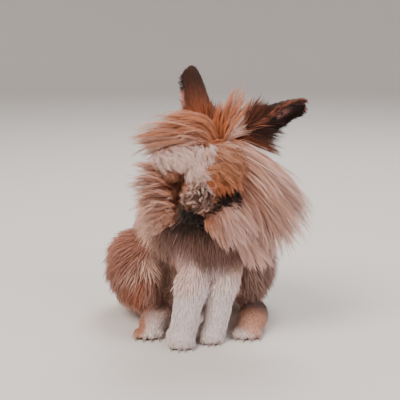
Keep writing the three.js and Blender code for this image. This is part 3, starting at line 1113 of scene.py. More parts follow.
@dataclass
class Strands:
    """Closed tapering blades with three sides, which are the solid form of tufts and locks."""

    lines: Array
    width: Array
    normal: Array
    base: Array
    tip: Array
    roots: Array
    flatness: float
    softness: float
    fade: float = 0.65
    patch: float = 0.003
    pattern_reach: float = 500.0  # mm over which the strands' patterns start at random

    def mesh(self, name: str, place: Place, rng: np.random.Generator) -> bpy.types.Mesh:
        """Builds one mesh of every strand, with its colours, maps and soft normals.

        Args:
            name: The mesh's name.
            place: The drawing frame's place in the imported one.
            rng: The source of random numbers.

        Returns:
            The new mesh, in metres.
        """
        count, knots, _ = self.lines.shape
        rings = knots - 1
        tangent = unit(np.gradient(self.lines, axis=1))
        side = unit(np.cross(tangent, self.normal[:, None, :]))
        up = np.cross(side, tangent)
        share = np.linspace(0, 1, knots)
        taper = (0.72 + 0.9 * share - 1.62 * share**2)[:rings]
        half = (self.width[:, None] * np.maximum(taper, 0.12) / 2)[:, :, None]
        centre = self.lines[:, :rings]
        left = centre - side[:, :rings] * half
        right = centre + side[:, :rings] * half
        ridge = centre + up[:, :rings] * half * 2 * self.flatness
        ring = np.stack([left, right, ridge], axis=2).reshape(count, rings * 3, 3)
        points = np.concatenate([ring, self.lines[:, -1:]], axis=1)
        points[..., 2] = np.maximum(points[..., 2], FLOOR_GAP)
        beside, above = side[:, :rings], up[:, :rings]
        round_normals = np.stack([-beside - 0.25 * above, beside - 0.25 * above, above], axis=2)
        soft = np.concatenate([round_normals.reshape(count, rings * 3, 3), up[:, -1:]], axis=1)
        soft = unit(unit(soft) * (1 - self.softness) + self.normal[:, None, :] * self.softness)
        per_tuft = 3 * rings + 1
        faces = (self.blade_faces(rings)[None] + (np.arange(count) * per_tuft)[:, None, None]).reshape(-1, 3)
        mesh = bpy.data.meshes.new(name)
        mesh.vertices.add(count * per_tuft)
        mesh.vertices.foreach_set("co", place.metres(points.reshape(-1, 3)).astype(np.float32).ravel())
        mesh.loops.add(faces.size)
        mesh.loops.foreach_set("vertex_index", faces.astype(np.int32).ravel())
        mesh.polygons.add(len(faces))
        mesh.polygons.foreach_set("loop_start", np.arange(0, faces.size, 3, dtype=np.int32))
        mesh.polygons.foreach_set("use_smooth", np.ones(len(faces), bool))
        along = np.append(np.repeat(share[:rings], 3), 1.0)
        mix = (along**self.fade)[None, :, None]
        paint(mesh, (self.base[:, None] * (1 - mix) + self.tip[:, None] * mix).reshape(-1, 3))
        across = np.append(np.tile([-0.5, 0.5, 0.0], rings), 0.0)
        lengthwise = along + np.append(np.tile([0.0, 0.0, 0.12 / rings], rings), 0.0)
        bake = bake_patches(self.roots, self.normal)
        patch_u = bake[:, :1] + self.patch * across
        patch_v = bake[:, 1:] + self.patch * (lengthwise - 0.5) * 0.85
        self.add_map(mesh, "OFBake", patch_u, patch_v, faces)
        reach = np.linalg.norm(np.diff(self.lines, axis=1), axis=2).sum(axis=1)[:, None]
        offset = rng.random((count, 2)) * self.pattern_reach
        strand_u = offset[:, :1] + self.width[:, None] * across
        self.add_map(mesh, "strand", strand_u, offset[:, 1:] + reach * along, faces)
        mesh.update()
        mesh.normals_split_custom_set_from_vertices(soft.reshape(-1, 3).astype(np.float32))
        return mesh

    @staticmethod
    def blade_faces(rings: int) -> Array:
        """Gives the corners of one blade's triangles: at its root, along its sides and at its tip."""
        corners = [(0, 1, 2)]
        for j in range(rings - 1):
            low, high = 3 * j, 3 * (j + 1)
            for a, b in ((0, 2), (2, 1), (1, 0)):
                corners += [(low + a, low + b, high + b), (low + a, high + b, high + a)]
        last, end = 3 * (rings - 1), 3 * rings
        corners += [(last, last + 2, end), (last + 2, last + 1, end), (last + 1, last, end)]
        return np.array(corners)

    @staticmethod
    def add_map(mesh: bpy.types.Mesh, name: str, u: Array, v: Array, faces: Array) -> None:
        """Adds a UV map from a pair of values at each point."""
        values = np.stack([u.ravel(), v.ravel()], axis=1).astype(np.float32)
        layer = mesh.uv_layers.new(name=name)
        layer.data.foreach_set("uv", values[faces.ravel()].ravel())


def clump_leaders(roots: Array, size: int, rng: np.random.Generator) -> npt.NDArray:
    """Groups roots into clumps and gives the index of each root's leader."""
    leaders = rng.choice(len(roots), max(1, len(roots) // size), replace=False)
    tree = kdtree.KDTree(len(leaders))
    for index in leaders:
        tree.insert(roots[index], int(index))
    tree.balance()
    return np.array([tree.find(root)[1] for root in roots])


def grow(tufts: Tufts, growth: Growth, rng: np.random.Generator) -> Strands:
    """Bends each tuft over from its root, draws it towards its clump and curls it.

    Args:
        tufts: The tufts' roots, directions, sizes and colours.
        growth: How they are shaped.
        rng: The source of random numbers.

    Returns:
        The strands, ready to be made into a mesh.
    """
    count = len(tufts.root)
    knots = growth.rings + 1
    share = np.linspace(0, 1, knots)[None, :, None]
    steep = (tufts.lift * 1.25)[:, None]
    shallow = (tufts.lift * 0.62)[:, None]
    start = np.cos(steep) * tufts.lie + np.sin(steep) * tufts.normal
    end = np.cos(shallow) * tufts.lie + np.sin(shallow) * tufts.normal
    end = unit(end + np.array([0, 0, -growth.droop]))
    length = tufts.length[:, None, None]
    lines = tufts.root[:, None] - ROOT_DEPTH * tufts.normal[:, None]
    lines = lines + length * (start[:, None] * (share - share**2 / 2) + end[:, None] * share**2 / 2)
    leader = clump_leaders(tufts.root, growth.clump_size, rng)
    if growth.clump:
        pull = growth.clump * (0.6 + 0.8 * rng.random((count, 1, 1))) * share**1.6
        lines = lines + np.minimum(pull, 1) * (lines[leader] - lines) * 0.95
    if growth.curl:
        side = unit(np.cross(tufts.normal, tufts.lie))[leader][:, None]
        phase = (rng.random(count) * 2 * math.pi)[leader][:, None, None] + rng.normal(0, 0.4, (count, 1, 1))
        swing = growth.curl * length * share
        turn = growth.waves * 2 * math.pi * share + phase
        rise = 0.7 * tufts.normal[leader][:, None]
        wind, start_wind = (np.sin(angle) * side + np.cos(angle) * rise for angle in (turn, phase))
        lines = lines + swing * (wind - start_wind)
    return Strands(
        lines, tufts.width, tufts.normal, tufts.base, tufts.tip, tufts.root, growth.flatness, growth.softness
    )


@dataclass(frozen=True)
class Comb:
    """One stroke of the comb: how the coat lies, how long it is and how far it stands out at a place.

    A stroke in the head's or the trunk's frame counts for both sides, unless it is on the middle line.
    """

    at: Point
    lie: Point
    length: float
    lift: float


@dataclass
class Groom:
    """The lie of the coat over the whole animal, blended from strokes of the comb."""

    posture: Posture
    strokes: dict[Zone, tuple[Comb, ...]]
    blend: float = 5.0
    batch: int = 20000  # places read at once, which limits the memory

    def table(self) -> Array:
        """Lists every stroke in the drawing frame as place, direction, length and lift."""
        rows = []
        for zone, combs in self.strokes.items():
            matrix = self.posture.matrix(zone)
            for comb in combs:
                for side in (1,) if zone is Zone.WHOLE or comb.at[0] == 0 else (1, -1):
                    flip = np.array([side, 1, 1])
                    at = self.posture.out(zone, [np.array(comb.at) * flip])[0]
                    lie = unit(matrix @ (np.array(comb.lie) * flip))
                    rows.append([*at, *lie, comb.length, comb.lift])
        return np.array(rows)

    def read(self, points: Array, normals: Array) -> tuple[Array, Array, Array]:
        """Blends the strokes at places on the skin.

        Args:
            points: Places in the drawing frame.
            normals: The skin's normals there.

        Returns:
            The lie, the length and the lift, one for each place.
        """
        table = self.table()
        result = np.empty((len(points), 5))
        for start in range(0, len(points), self.batch):
            part = points[start : start + self.batch]
            gap = ((part[:, None] - table[None, :, :3]) ** 2).sum(axis=2) + self.blend**2
            weight = gap**-2.5
            result[start : start + self.batch] = (weight @ table[:, 3:]) / weight.sum(axis=1, keepdims=True)
        lie = result[:, :3]
        return unit(lie - along_normal(lie, normals)), result[:, 3], result[:, 4]


HEAD_STROKES = (
    Comb((0, 3, 3), (0.2, -0.9, -0.2), 8, 0.75),
    Comb((4, 6, 5), (0.8, -0.4, 0.1), 8, 0.75),
    Comb((0, 18, 12), (0.3, 0.2, 0.5), 9, 0.7),
    Comb((0, 30, 17), (0, 0.6, 0.5), 10, 0.6),
    Comb((8, 6, -4), (0.7, 0.4, 0.1), 8, 0.75),
    Comb((13, 14, -6), (0.6, 0.6, -0.2), 9, 0.7),
    Comb((16, 26, -8), (0.5, 0.8, -0.3), 10, 0.6),
    Comb((5, -1, -10), (0.5, -0.3, -0.6), 6.5, 0.7),
    Comb((0, 6, -20), (0, 0.3, -0.8), 8, 0.6),
    Comb((0, 24, -24), (0, 0.9, -0.4), 9, 0.4),
    Comb((0, 44, -24), (0, 0.8, -0.6), 15, 0.4),
    Comb((20, 36, -18), (0.3, 0.8, -0.5), 12, 0.45),
    Comb((26, 52, -14), (0.5, 0.6, -0.6), 17, 0.5),
    Comb((24, 74, -12), (0.5, 0.6, -0.6), 22, 0.5),
    Comb((24, 34, -3), (0.7, 0.4, -0.6), 11, 0.5),
    Comb((29, 52, -2), (0.7, 0.4, -0.6), 15, 0.5),
    Comb((16, 26, 6), (0.8, 0.2, 0.1), 10, 0.6),
    Comb((21, 33, 11), (0.9, 0.1, 0.1), 7, 0.5),
    Comb((19, 42, 22), (0.9, -0.3, -0.1), 12, 0.4),
    Comb((24, 54, 14), (0.6, 0.8, -0.1), 10, 0.35),
    Comb((25, 42, 1), (0.6, 0.5, -0.6), 7, 0.4),
    Comb((9, 46, 27), (0.8, -0.5, 0), 16, 0.5),
    Comb((5, 38, 21), (0.5, -0.7, 0.1), 12, 0.55),
    Comb((10, 62, 30), (0.9, -0.3, 0), 20, 0.45),
    Comb((0, 82, 30), (0, 0.8, 0.5), 24, 0.5),
)

TRUNK_STROKES = (
    Comb((0, 20, 158), (0, 1, -0.35), 20, 0.3),
    Comb((0, 60, 138), (0, 0.8, -0.6), 20, 0.3),
    Comb((0, 100, 98), (0, 0.5, -0.9), 19, 0.3),
    Comb((0, 124, 60), (0, 0.15, -1), 17, 0.3),
    Comb((0, 118, 22), (0, -0.3, -0.9), 12, 0.3),
    Comb((46, -20, 130), (0.1, 0.5, -0.9), 20, 0.3),
    Comb((56, 20, 112), (0, 0.7, -0.7), 20, 0.3),
    Comb((54, 60, 108), (0, 0.7, -0.7), 20, 0.3),
    Comb((46, -10, 80), (0, 0.4, -0.9), 18, 0.3),
    Comb((0, -10, 50), (0, 0.4, -0.9), 12, 0.2),
    Comb((0, 40, 6), (0, 1, 0), 6, 0.02),
    Comb((30, 60, 6), (0, 1, 0), 6, 0.02),
    Comb((62, -6, 50), (0.3, -0.2, -1), 16, 0.5),
    Comb((77, 20, 70), (0.1, 0.1, -1), 20, 0.55),
    Comb((79, 58, 60), (0, 0.4, -0.85), 20, 0.5),
    Comb((74, 40, 30), (-0.1, 0.2, -1), 14, 0.4),
    Comb((56, 95, 60), (-0.2, 0.6, -0.8), 15, 0.3),
    Comb((58, 40, 12), (0, 0.8, -0.2), 6, 0.05),
    Comb((46, 100, 80), (0, 0.5, -0.9), 18, 0.3),
    Comb((0, 132, 34), (0, 0.5, 0.9), 15, 0.6),
    Comb((0, 134, 52), (0, 0.2, 1), 17, 0.6),
)

WHOLE_STROKES = (
    Comb((14, -20, 206), (-0.1, 0.9, 0.1), 26, 0.35),
    Comb((6, 20, 188), (-0.1, 0.9, -0.4), 24, 0.3),
    Comb((-2, 50, 152), (0, 0.8, -0.6), 22, 0.3),
    Comb((46, -24, 176), (0.5, 0.15, -0.85), 40, 0.5),
    Comb((-20, -20, 178), (-0.5, 0.25, -0.85), 32, 0.4),
    Comb((46, 0, 166), (0.3, 0.35, -0.9), 34, 0.4),
    Comb((-28, 0, 164), (-0.3, 0.35, -0.9), 32, 0.4),
    Comb((48, 24, 150), (0.1, 0.5, -0.9), 24, 0.3),
    Comb((-36, 24, 150), (-0.1, 0.5, -0.9), 24, 0.3),
    Comb((12, -60, 150), (0, -0.2, -1), 22, 0.35),
    Comb((38, -54, 140), (0.5, -0.1, -0.85), 22, 0.35),
    Comb((-14, -54, 140), (-0.5, -0.1, -0.85), 22, 0.35),
    Comb((11, -61, 118), (0, -0.1, -1), 20, 0.3),
    Comb((40, -48, 110), (0.3, 0, -0.95), 20, 0.3),
    Comb((-18, -48, 110), (-0.3, 0, -0.95), 20, 0.3),
    Comb((10, -53, 84), (0, 0.1, -1), 19, 0.3),
    Comb((6, -42, 58), (0, 0.3, -1), 13, 0.25),
    Comb((24, -36, 80), (0.1, -0.05, -1), 15, 0.28),
    Comb((18, -42, 42), (0, -0.05, -1), 7, 0.15),
    Comb((13, -44, 18), (0, -0.3, -1), 6, 0.15),
    Comb((12, -58, 12), (0, -0.9, -0.4), 4.5, 0.15),
    Comb((12, -64, 5), (0, -0.8, -0.6), 3.5, 0.12),
    Comb((-4, -44, 76), (-0.1, -0.05, -1), 15, 0.28),
    Comb((-12, -52, 40), (0, -0.05, -1), 7, 0.15),
    Comb((-18, -55, 18), (0, -0.3, -1), 6, 0.15),
    Comb((-18, -72, 12), (0, -0.9, -0.4), 4.5, 0.15),
    Comb((-18, -78, 5), (0, -0.8, -0.6), 3.5, 0.12),
    Comb((58, 14, 18), (-0.05, -1, 0), 7, 0.15),
    Comb((52, -18, 20), (-0.1, -1, -0.1), 6, 0.15),
    Comb((48, -44, 12), (-0.05, -1, -0.4), 4.5, 0.12),
    Comb((-42, 14, 18), (-0.05, -1, 0), 7, 0.15),
    Comb((-47, -18, 20), (-0.05, -1, -0.1), 6, 0.15),
    Comb((-49, -44, 12), (-0.05, -1, -0.4), 4.5, 0.12),
)


@dataclass(frozen=True)
class CoatPart:
    """The coat of one part of the body."""

    label: str
    slot: str
    density: float
    width: float
    growth: Growth
    finish: FurFinish = BODY_FUR
    speckle: float = 0.0


BODY_GROWTH = Growth(3, 0.4, 9, 0.03, 0.8, 0.12, softness=0.6)
LONG_GROWTH = Growth(3, 0.45, 10, 0.05, 1.0, 0.25, softness=0.6)
LEG_GROWTH = Growth(2, 0.3, 7)
WOOL_GROWTH = Growth(3, 0.6, 11, 0.1, 0.9, 0.05, softness=0.45)
CURL_GROWTH = Growth(3, 0.85, 11, 0.24, 1.2, 0.0, softness=0.4)


@dataclass
class Coat:
    """The coat that grows from the skin, in one piece for each part of the body."""

    surface: Surface
    groom: Groom
    markings: Markings
    clearings: tuple[tuple[Array, float], ...] = ()
    parts: tuple[CoatPart, ...] = (
        CoatPart("muzzle", "coat_tan", 0.8, 0.6, CURL_GROWTH, SHORT_FUR, speckle=0.75),
        CoatPart("face", "coat_orange", 0.45, 0.75, WOOL_GROWTH),
        CoatPart("neck", "coat_tan", 0.3, 0.9, LONG_GROWTH),
        CoatPart("chest", "coat_white", 0.46, 0.8, LONG_GROWTH),
        CoatPart("trunk", "coat_cream", 0.25, 1.05, BODY_GROWTH),
        CoatPart("rump", "coat_cream", 0.24, 1.05, BODY_GROWTH),
        CoatPart("thigh_left", "coat_orange", 0.27, 1.0, BODY_GROWTH),
        CoatPart("thigh_right", "coat_orange", 0.27, 1.0, BODY_GROWTH),
        CoatPart("foreleg_left", "coat_white", 0.62, 0.8, LEG_GROWTH, SHORT_FUR),
        CoatPart("foreleg_right", "coat_white", 0.62, 0.8, LEG_GROWTH, SHORT_FUR),
        CoatPart("forepaw_left", "coat_white", 1.3, 0.6, LEG_GROWTH, SHORT_FUR),
        CoatPart("forepaw_right", "coat_white", 1.3, 0.6, LEG_GROWTH, SHORT_FUR),
        CoatPart("hind_foot_left", "coat_white", 0.5, 0.8, LEG_GROWTH, SHORT_FUR),
        CoatPart("hind_foot_right", "coat_white", 0.5, 0.8, LEG_GROWTH, SHORT_FUR),
        CoatPart("tail", "coat_cream", 0.9, 0.85, BODY_GROWTH),
    )
    # roots are painted darker as shade deep in the coat, tips lighter as light on its outside
    root_shade: float = 0.74
    tip_shade: float = 1.08

    def tufts(self, part: CoatPart, rng: np.random.Generator) -> Tufts:
        """Plants and combs the tufts of one part."""
        roots, normals = self.surface.scatter(part.label, part.density, rng)
        free = np.ones(len(roots), bool)
        for centre, radius in self.clearings:
            free &= np.linalg.norm(roots - centre, axis=1) > radius
        roots, normals = roots[free], normals[free]
        lie, length, lift = self.groom.read(roots, normals)
        count = len(roots)
        jitter = rng.normal(0, 0.16, (count, 3))
        lie = lie + jitter - along_normal(jitter, normals)
        colour = self.markings.at(roots + rng.normal(0, 1.6, (count, 3)))
        colour = colour * (1 + rng.normal(0, 0.09, (count, 1)))
        dark = part.speckle * ramp(-0.25, 0.45, mottle(roots * np.array([1.0, 0.7, 1.3]), 3.0))[:, None]
        colour = colour + dark * (linear(Tone.SABLE) - colour)
        return Tufts(
            roots,
            normals,
            unit(lie),
            length * vary(rng, 0.2, 0.5, 1.5, count),
            np.clip(lift + rng.normal(0, 0.08, count), 0.02, 1),
            part.width * vary(rng, 0.2, 0.5, 1.6, count),
            np.clip(colour * self.root_shade, 0, 1),
            np.clip(colour * self.tip_shade, 0, 1),
        )

    def build(self, place: Place) -> None:
        """Shows every part of the coat."""
        for number, part in enumerate(self.parts):
            rng = draws(COAT_DRAWS, number)
            strands = grow(self.tufts(part, rng), part.growth, rng)
            name = f"coat_{part.label}"
            show(name, strands.mesh(name, place, rng), part.finish)


@dataclass(frozen=True)
class Puff:
    """A thick rounded mass of loose wool that fills a few balls, each given by its centre and radii.

    Its tufts lie over one another like shingles. They point away from the focus, turned clockwise by the
    swirl as the animal is seen from the front. Stand is how steeply they rise from the mass.
    """

    name: str
    slot: str
    balls: tuple[tuple[Point, Point], ...]
    focus: Point
    ground: str
    patches: tuple[Patch, ...]
    swirl: float = 0.0
    stand: float = 0.5
    length: float = 13.0
    clumps: int = 300
    strands: int = 11
    spread: float = 2.6
    curl: float = 0.0
    speckle: float = 0.0
    width: float = 0.4
    rings: int = 2
    # share of the colour at the roots, painted darker as shade deep in the mass
    depth: float = 0.72
    fray: float = 0.45


@dataclass
class Wool:
    """The loose wool of the face, in puffs."""

    surface: Surface
    posture: Posture
    # tips painted lighter, as light on the outside of the mass
    tip_shade: float = 1.08

    def tips(self, puff: Puff, rng: np.random.Generator) -> tuple[Array, Array]:
        """Picks the places where the puff's tufts end, with the directions out of the mass there."""
        centres = np.array([ball[0] for ball in puff.balls])
        radii = np.array([ball[1] for ball in puff.balls])
        area = radii.prod(axis=1) ** (2 / 3)
        tries = puff.clumps * 6
        owner = rng.choice(len(centres), tries, p=area / area.sum())
        direction = unit(rng.normal(0, 1, (tries, 3)))
        depth = 1 - 0.4 * rng.random((tries, 1)) ** 2
        tip = centres[owner] + radii[owner] * direction * depth
        outward = unit(direction / radii[owner])
        kept = direction[:, 1] < 0.45
        for centre, radius in zip(centres, radii):
            kept &= np.linalg.norm((tip - centre) / radius, axis=1) > 0.58
        skin, normals = self.surface.project(tip)
        kept &= ((tip - skin) * normals).sum(axis=1) > 1.0
        return tip[kept][: puff.clumps], outward[kept][: puff.clumps]

    def lines(self, puff: Puff, rng: np.random.Generator) -> tuple[Array, Array, npt.NDArray]:
        """Draws the centre lines of a puff's strands.

        Args:
            puff: The puff to draw.
            rng: The source of random numbers.

        Returns:
            The lines, the directions out of the mass at each, and the number of each strand's clump.
        """
        tip, outward = self.tips(puff, rng)
        away = unit(tip - np.array(puff.focus))
        turned = np.stack([away[:, 2], np.zeros(len(away)), -away[:, 0]], axis=1)
        angle = math.radians(puff.swirl)
        lie = math.cos(angle) * away + math.sin(angle) * turned + rng.normal(0, 0.22, away.shape)
        lie = unit(lie - along_normal(lie, outward))
        stand = np.clip(puff.stand + rng.normal(0, 0.16, (len(tip), 1)), 0.05, 1.3)
        along = np.cos(stand) * lie + np.sin(stand) * outward
        clump = np.repeat(np.arange(len(tip)), puff.strands)
        count = len(clump)
        length = puff.length * vary(rng, 0.2, 0.6, 1.5, (len(tip), 1))[clump]
        loose = in_ball(count, rng)
        side = unit(np.cross(along, outward))[clump]
        ragged = length * 0.3 * rng.random((count, 1)) ** 1.5
        end = tip[clump] - along[clump] * ragged + loose * puff.fray
        root = tip[clump] - along[clump] * length + loose * puff.spread
        bulge = outward[clump] * length * 0.1
        share = np.linspace(0, 1, puff.rings + 1)[None, :, None]
        middle = (root + end)[:, None] / 2 + bulge[:, None] + loose[:, None] * puff.spread * 0.25
        lines = (1 - share) ** 2 * root[:, None] + 2 * share * (1 - share) * middle + share**2 * end[:, None]
        if puff.curl:
            phase = (rng.random(len(tip)) * 2 * math.pi)[clump][:, None, None]
            turn = phase + share * 1.6 * math.pi
            wind = np.cos(turn) * side[:, None] + np.sin(turn) * outward[clump][:, None]
            lines = lines + wind * share * puff.curl
        return lines, unit(outward[clump] + 0.35 * loose), clump

    def build(self, puff: Puff, number: int, place: Place) -> bpy.types.Object:
        """Shows one puff."""
        rng = draws(PUFF_DRAWS, number)
        lines, outward, clump = self.lines(puff, rng)
        count, groups = len(clump), int(clump.max()) + 1
        colour = Markings(self.posture, puff.ground, puff.patches).at(lines[:, -1])
        chance = rng.random(groups)[clump] * 0.7 + rng.random(count) * 0.3
        dark = puff.speckle * ramp(0.3, 0.7, chance)[:, None]
        colour = colour + dark * (linear(Tone.SABLE) - colour)
        colour = colour * (1 + rng.normal(0, 0.05, groups)[clump] + rng.normal(0, 0.07, count))[:, None]
        width = puff.width * vary(rng, 0.22, 0.5, 1.6, count)
        base, tip = (np.clip(colour * shade, 0, 1) for shade in (puff.depth, self.tip_shade))
        strands = Strands(lines, width, outward, base, tip, lines[:, 0], 0.5, 0.65)
        return show(puff.name, strands.mesh(puff.name, place, rng), BODY_FUR)


PUFFS = (
    Puff(
        "wool_blaze", "coat_white",
        (
            ((-14, -50, 184), (27, 20, 15)), ((0, -61, 175), (14, 17, 15)), ((3, -68, 167), (6, 10, 8)),
            ((6, -58, 188), (13, 14, 12)), ((-36, -46, 186), (9, 9, 8)),
        ),
        (17, -68, 142), Tone.WHITE,
        (Patch(Zone.WHOLE, (-27, -56, 167), (16, 26, 9), Tone.ORANGE, 0.5, 0.3, 0.85),),
        clumps=1060, length=14, strands=8, spread=2.8, fray=0.9, width=0.38, depth=0.74,
    ),
    Puff(
        "wool_cheek", "coat_orange",
        (((29, -57, 172), (17, 16, 16)), ((20, -61, 177), (8, 12, 12)), ((17, -65, 166), (6, 11, 8))),
        (13, -66, 157), Tone.APRICOT,
        (Patch(Zone.WHOLE, (28, -70, 157), (22, 24, 8), Tone.RUST, 0.6, 0.2, 0.85),),
        swirl=62, stand=0.2, clumps=420, strands=8, length=17, spread=3.2, speckle=0.1, fray=1.2,
    ),
    # the jaw's wool: sooty fur, painted near black as the shadow under the chin
    Puff(
        "wool_jaw", "coat_sable",
        (((-3, -59, 131), (15, 13, 12)), ((26, -58, 145), (18, 12, 8)), ((8, -62, 139), (11, 12, 8))),
        (4, -60, 160), Tone.SOOT,
        (),
        stand=0.35, clumps=240, strands=13, length=12, speckle=0.2, width=0.5,
    ),
    Puff(
        "wool_muzzle", "coat_tan", (((-2, -76, 150), (16, 13, 14)), ((1, -76, 160), (11, 10, 8))),
        (0, -60, 152), Tone.CREAM,
        (
            # the first and last sable patches are painted shade on the muzzle's side and underside
            Patch(Zone.WHOLE, (12, -80, 152), (9, 20, 16), Tone.SABLE, 0.5, 0.2, 0.95),
            Patch(Zone.WHOLE, (-3, -84, 153), (4, 9, 4), Tone.SABLE, 0.5, 0.2, 0.9),
            Patch(Zone.WHOLE, (-13, -76, 139), (10, 20, 5), Tone.SABLE, 0.5, 0.2, 0.9),
        ),
        swirl=30, stand=0.75, clumps=210, strands=15, length=8, spread=1.8, curl=2.2, speckle=0.6, rings=3,
        depth=0.5,
    ),
    Puff(
        "wool_jowl", "coat_sable",
        (((-25, -49, 169), (13, 14, 10)), ((-22, -44, 148), (11, 12, 14))),
        (-6, -60, 168), Tone.UMBER,
        (Patch(Zone.WHOLE, (-27, -50, 170), (17, 26, 13), Tone.TAN, 0.4, 0.3, 0.9),),
        swirl=-25, stand=0.8, clumps=340, strands=9, length=11, speckle=0.4, curl=1.6, width=0.36, fray=1.5,
        depth=0.6,
    ),
)


@dataclass(frozen=True)
class Fan:
    """Long hair that leaves the skin along one line and ends in ragged locks along another.

    Each lock is (root, tip, half width), as it lies in the coat's outline. The tones run along the fan,
    one row for the roots of the hair and one for its tips. Strands gather in clumps, and clumps run
    together into pointed ends. Shortest is the length of the shortest clump as a share of the longest, so
    that a low value gives layers of tufts all over the fan, and a low thinning leaves few long ones.
    """

    name: str
    locks: tuple[tuple[Point, Point, float], ...]
    bow: Point
    strands: int
    clumps: int
    ends: int
    root_tones: tuple[str, ...]
    tip_tones: tuple[str, ...]
    slot: str
    node: str | None = None
    streak: str = Tone.ORANGE
    streaks: float = 0.2
    shortest: float = 0.5
    thinning: float = 1.4
    gather: float = 0.5
    loose_share: float = 0.05
    fade: float = 0.65
    wave: float = 0.8
    width: float = 0.5
    rings: int = 4


@dataclass
class LongHair:
    """The mane, the ruff and the forelock."""

    surface: Surface
    softness: float = 0.45
    side_limit: float = 114.0  # no strand goes further to the left than this
    # roots are painted darker as shade deep in the hair, tips lighter as light on its outside
    root_shade: float = 0.78
    tip_shade: float = 1.06

    def lines(self, fan: Fan, rng: np.random.Generator) -> tuple[Array, Array, Array, Array, Array]:
        """Draws the centre lines of a fan's strands.

        Args:
            fan: The fan to draw.
            rng: The source of random numbers.

        Returns:
            The lines, the normals at their roots, their share along the fan, their clumps and their roots.
        """
        roots, tips = (np.array([lock[end] for lock in fan.locks], float) for end in (0, 1))
        girths = np.array([[lock[2]] for lock in fan.locks])
        end_share = (np.arange(fan.ends) + rng.uniform(0.2, 0.8, fan.ends)) / fan.ends
        end_reach = 1.02 - 0.24 * rng.random(fan.ends)
        end_ball = in_ball(fan.ends, rng)
        clump_share = (np.arange(fan.clumps) + rng.random(fan.clumps)) / fan.clumps
        end = np.minimum((clump_share * fan.ends).astype(int), fan.ends - 1)
        shorter = (1 - fan.shortest) * rng.random(fan.clumps) ** fan.thinning
        clump_reach = end_reach[end] * (1 - shorter)
        clump_tip = clump_share + fan.gather * (end_share[end] - clump_share)
        clump_ball = in_ball(fan.clumps, rng)
        clump_end = 0.45 * end_ball[end] + 0.35 * clump_ball + 0.12 * rng.normal(0, 1, (fan.clumps, 3))
        clump = rng.integers(0, fan.clumps, fan.strands)
        share = np.clip(clump_share[clump] + rng.normal(0, 0.5 / fan.clumps, fan.strands), 0, 1)
        tip_share = np.clip(clump_tip[clump] + share - clump_share[clump], 0, 1)
        root, girth = (curve_points(rows, share) for rows in (roots, girths))
        tip, tip_girth = (curve_points(rows, tip_share) for rows in (tips, girths))
        own = in_ball(fan.strands, rng)
        loose = np.where(rng.random((fan.strands, 1)) < fan.loose_share, 6.0, 1.0)
        outward = unit(np.array(fan.bow, float)[None])
        thick = clump_ball[clump] * girth
        tip_thick = clump_end[clump] * tip_girth
        seat, normals = self.surface.project(root + thick * 0.8 + own * 1.2)
        reach = clump_reach[clump][:, None] * np.clip(rng.normal(0.96, 0.06, (fan.strands, 1)), 0.7, 1.01)
        layer = outward * (shorter[clump][:, None] * girth * 0.9)
        tip = root + (tip - root) * reach + tip_thick + layer + own * 0.45 * loose
        tip[:, 0] = np.minimum(tip[:, 0], self.side_limit - 6.0 * rng.random(fan.strands))
        bow = np.array(fan.bow) * reach
        early = root + (tip - root) * 0.2 + thick * 0.62 + own * 1.7 + bow * 0.55 + layer * 0.3
        middle = root + (tip - root) * 0.52 + thick * 0.45 + tip_thick * 0.25 + own * 1.6 + bow + layer * 0.5
        late = root + (tip - root) * 0.8 + thick * 0.2 + tip_thick * 0.5 + own * 1.1 * loose**0.4 + bow * 0.6
        knots = np.stack([seat - 0.5 * normals, early, middle, late + layer * 0.6, tip], axis=1)
        sample = np.linspace(0, 1, fan.rings + 1)
        flat = np.moveaxis(knots, 1, 0).reshape(5, -1)
        lines = np.moveaxis(curve_points(flat, sample).reshape(fan.rings + 1, fan.strands, 3), 0, 1)
        across = unit(np.cross(unit(tip - seat), normals))
        phase = (clump * 2.4 + rng.normal(0, 0.5, fan.strands))[:, None, None]
        swing = fan.wave * sample[None, :, None] ** 0.8 * np.sin(sample[None, :, None] * 9.0 + phase)
        return lines + swing * across[:, None], normals, share, clump, seat

    def colours(self, fan: Fan, share: Array, clump: Array, rng: np.random.Generator) -> tuple[Array, Array]:
        """Colours each strand at its root and its tip."""
        wander = share + rng.normal(0, 0.06, fan.clumps)[clump] + rng.normal(0, 0.04, fan.strands)
        mix = fan.streaks * 2 * rng.random(fan.clumps)[clump] * rng.random(fan.strands) ** 0.5
        light = 1 + rng.normal(0, 0.07, fan.strands) + rng.normal(0, 0.05, fan.clumps)[clump]
        ends = []
        for codes, shade in ((fan.root_tones, self.root_shade), (fan.tip_tones, self.tip_shade)):
            colour = curve_points(np.array([linear(code) for code in codes]), wander)
            colour = colour + np.minimum(mix, 0.9)[:, None] * (linear(fan.streak) - colour)
            ends.append(np.clip(colour * shade * light[:, None], 0, 1))
        return ends[0], ends[1]

    def build(self, fan: Fan, number: int, place: Place) -> bpy.types.Object:
        """Shows one fan of long hair."""
        rng = draws(FAN_DRAWS, number)
        lines, normals, share, clump, seat = self.lines(fan, rng)
        base, tip = self.colours(fan, share, clump, rng)
        middle = lines[:, fan.rings // 2]
        outward = unit(middle - middle.mean(axis=0) + 14.0 * normals)
        width = fan.width * vary(rng, 0.25, 0.5, 1.8, fan.strands)
        strands = Strands(lines, width, outward, base, tip, seat, 0.5, self.softness, fan.fade)
        piece = show(fan.name, strands.mesh(fan.name, place, rng), LONG_FUR)
        if fan.node:
            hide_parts(fan.node)
        return piece


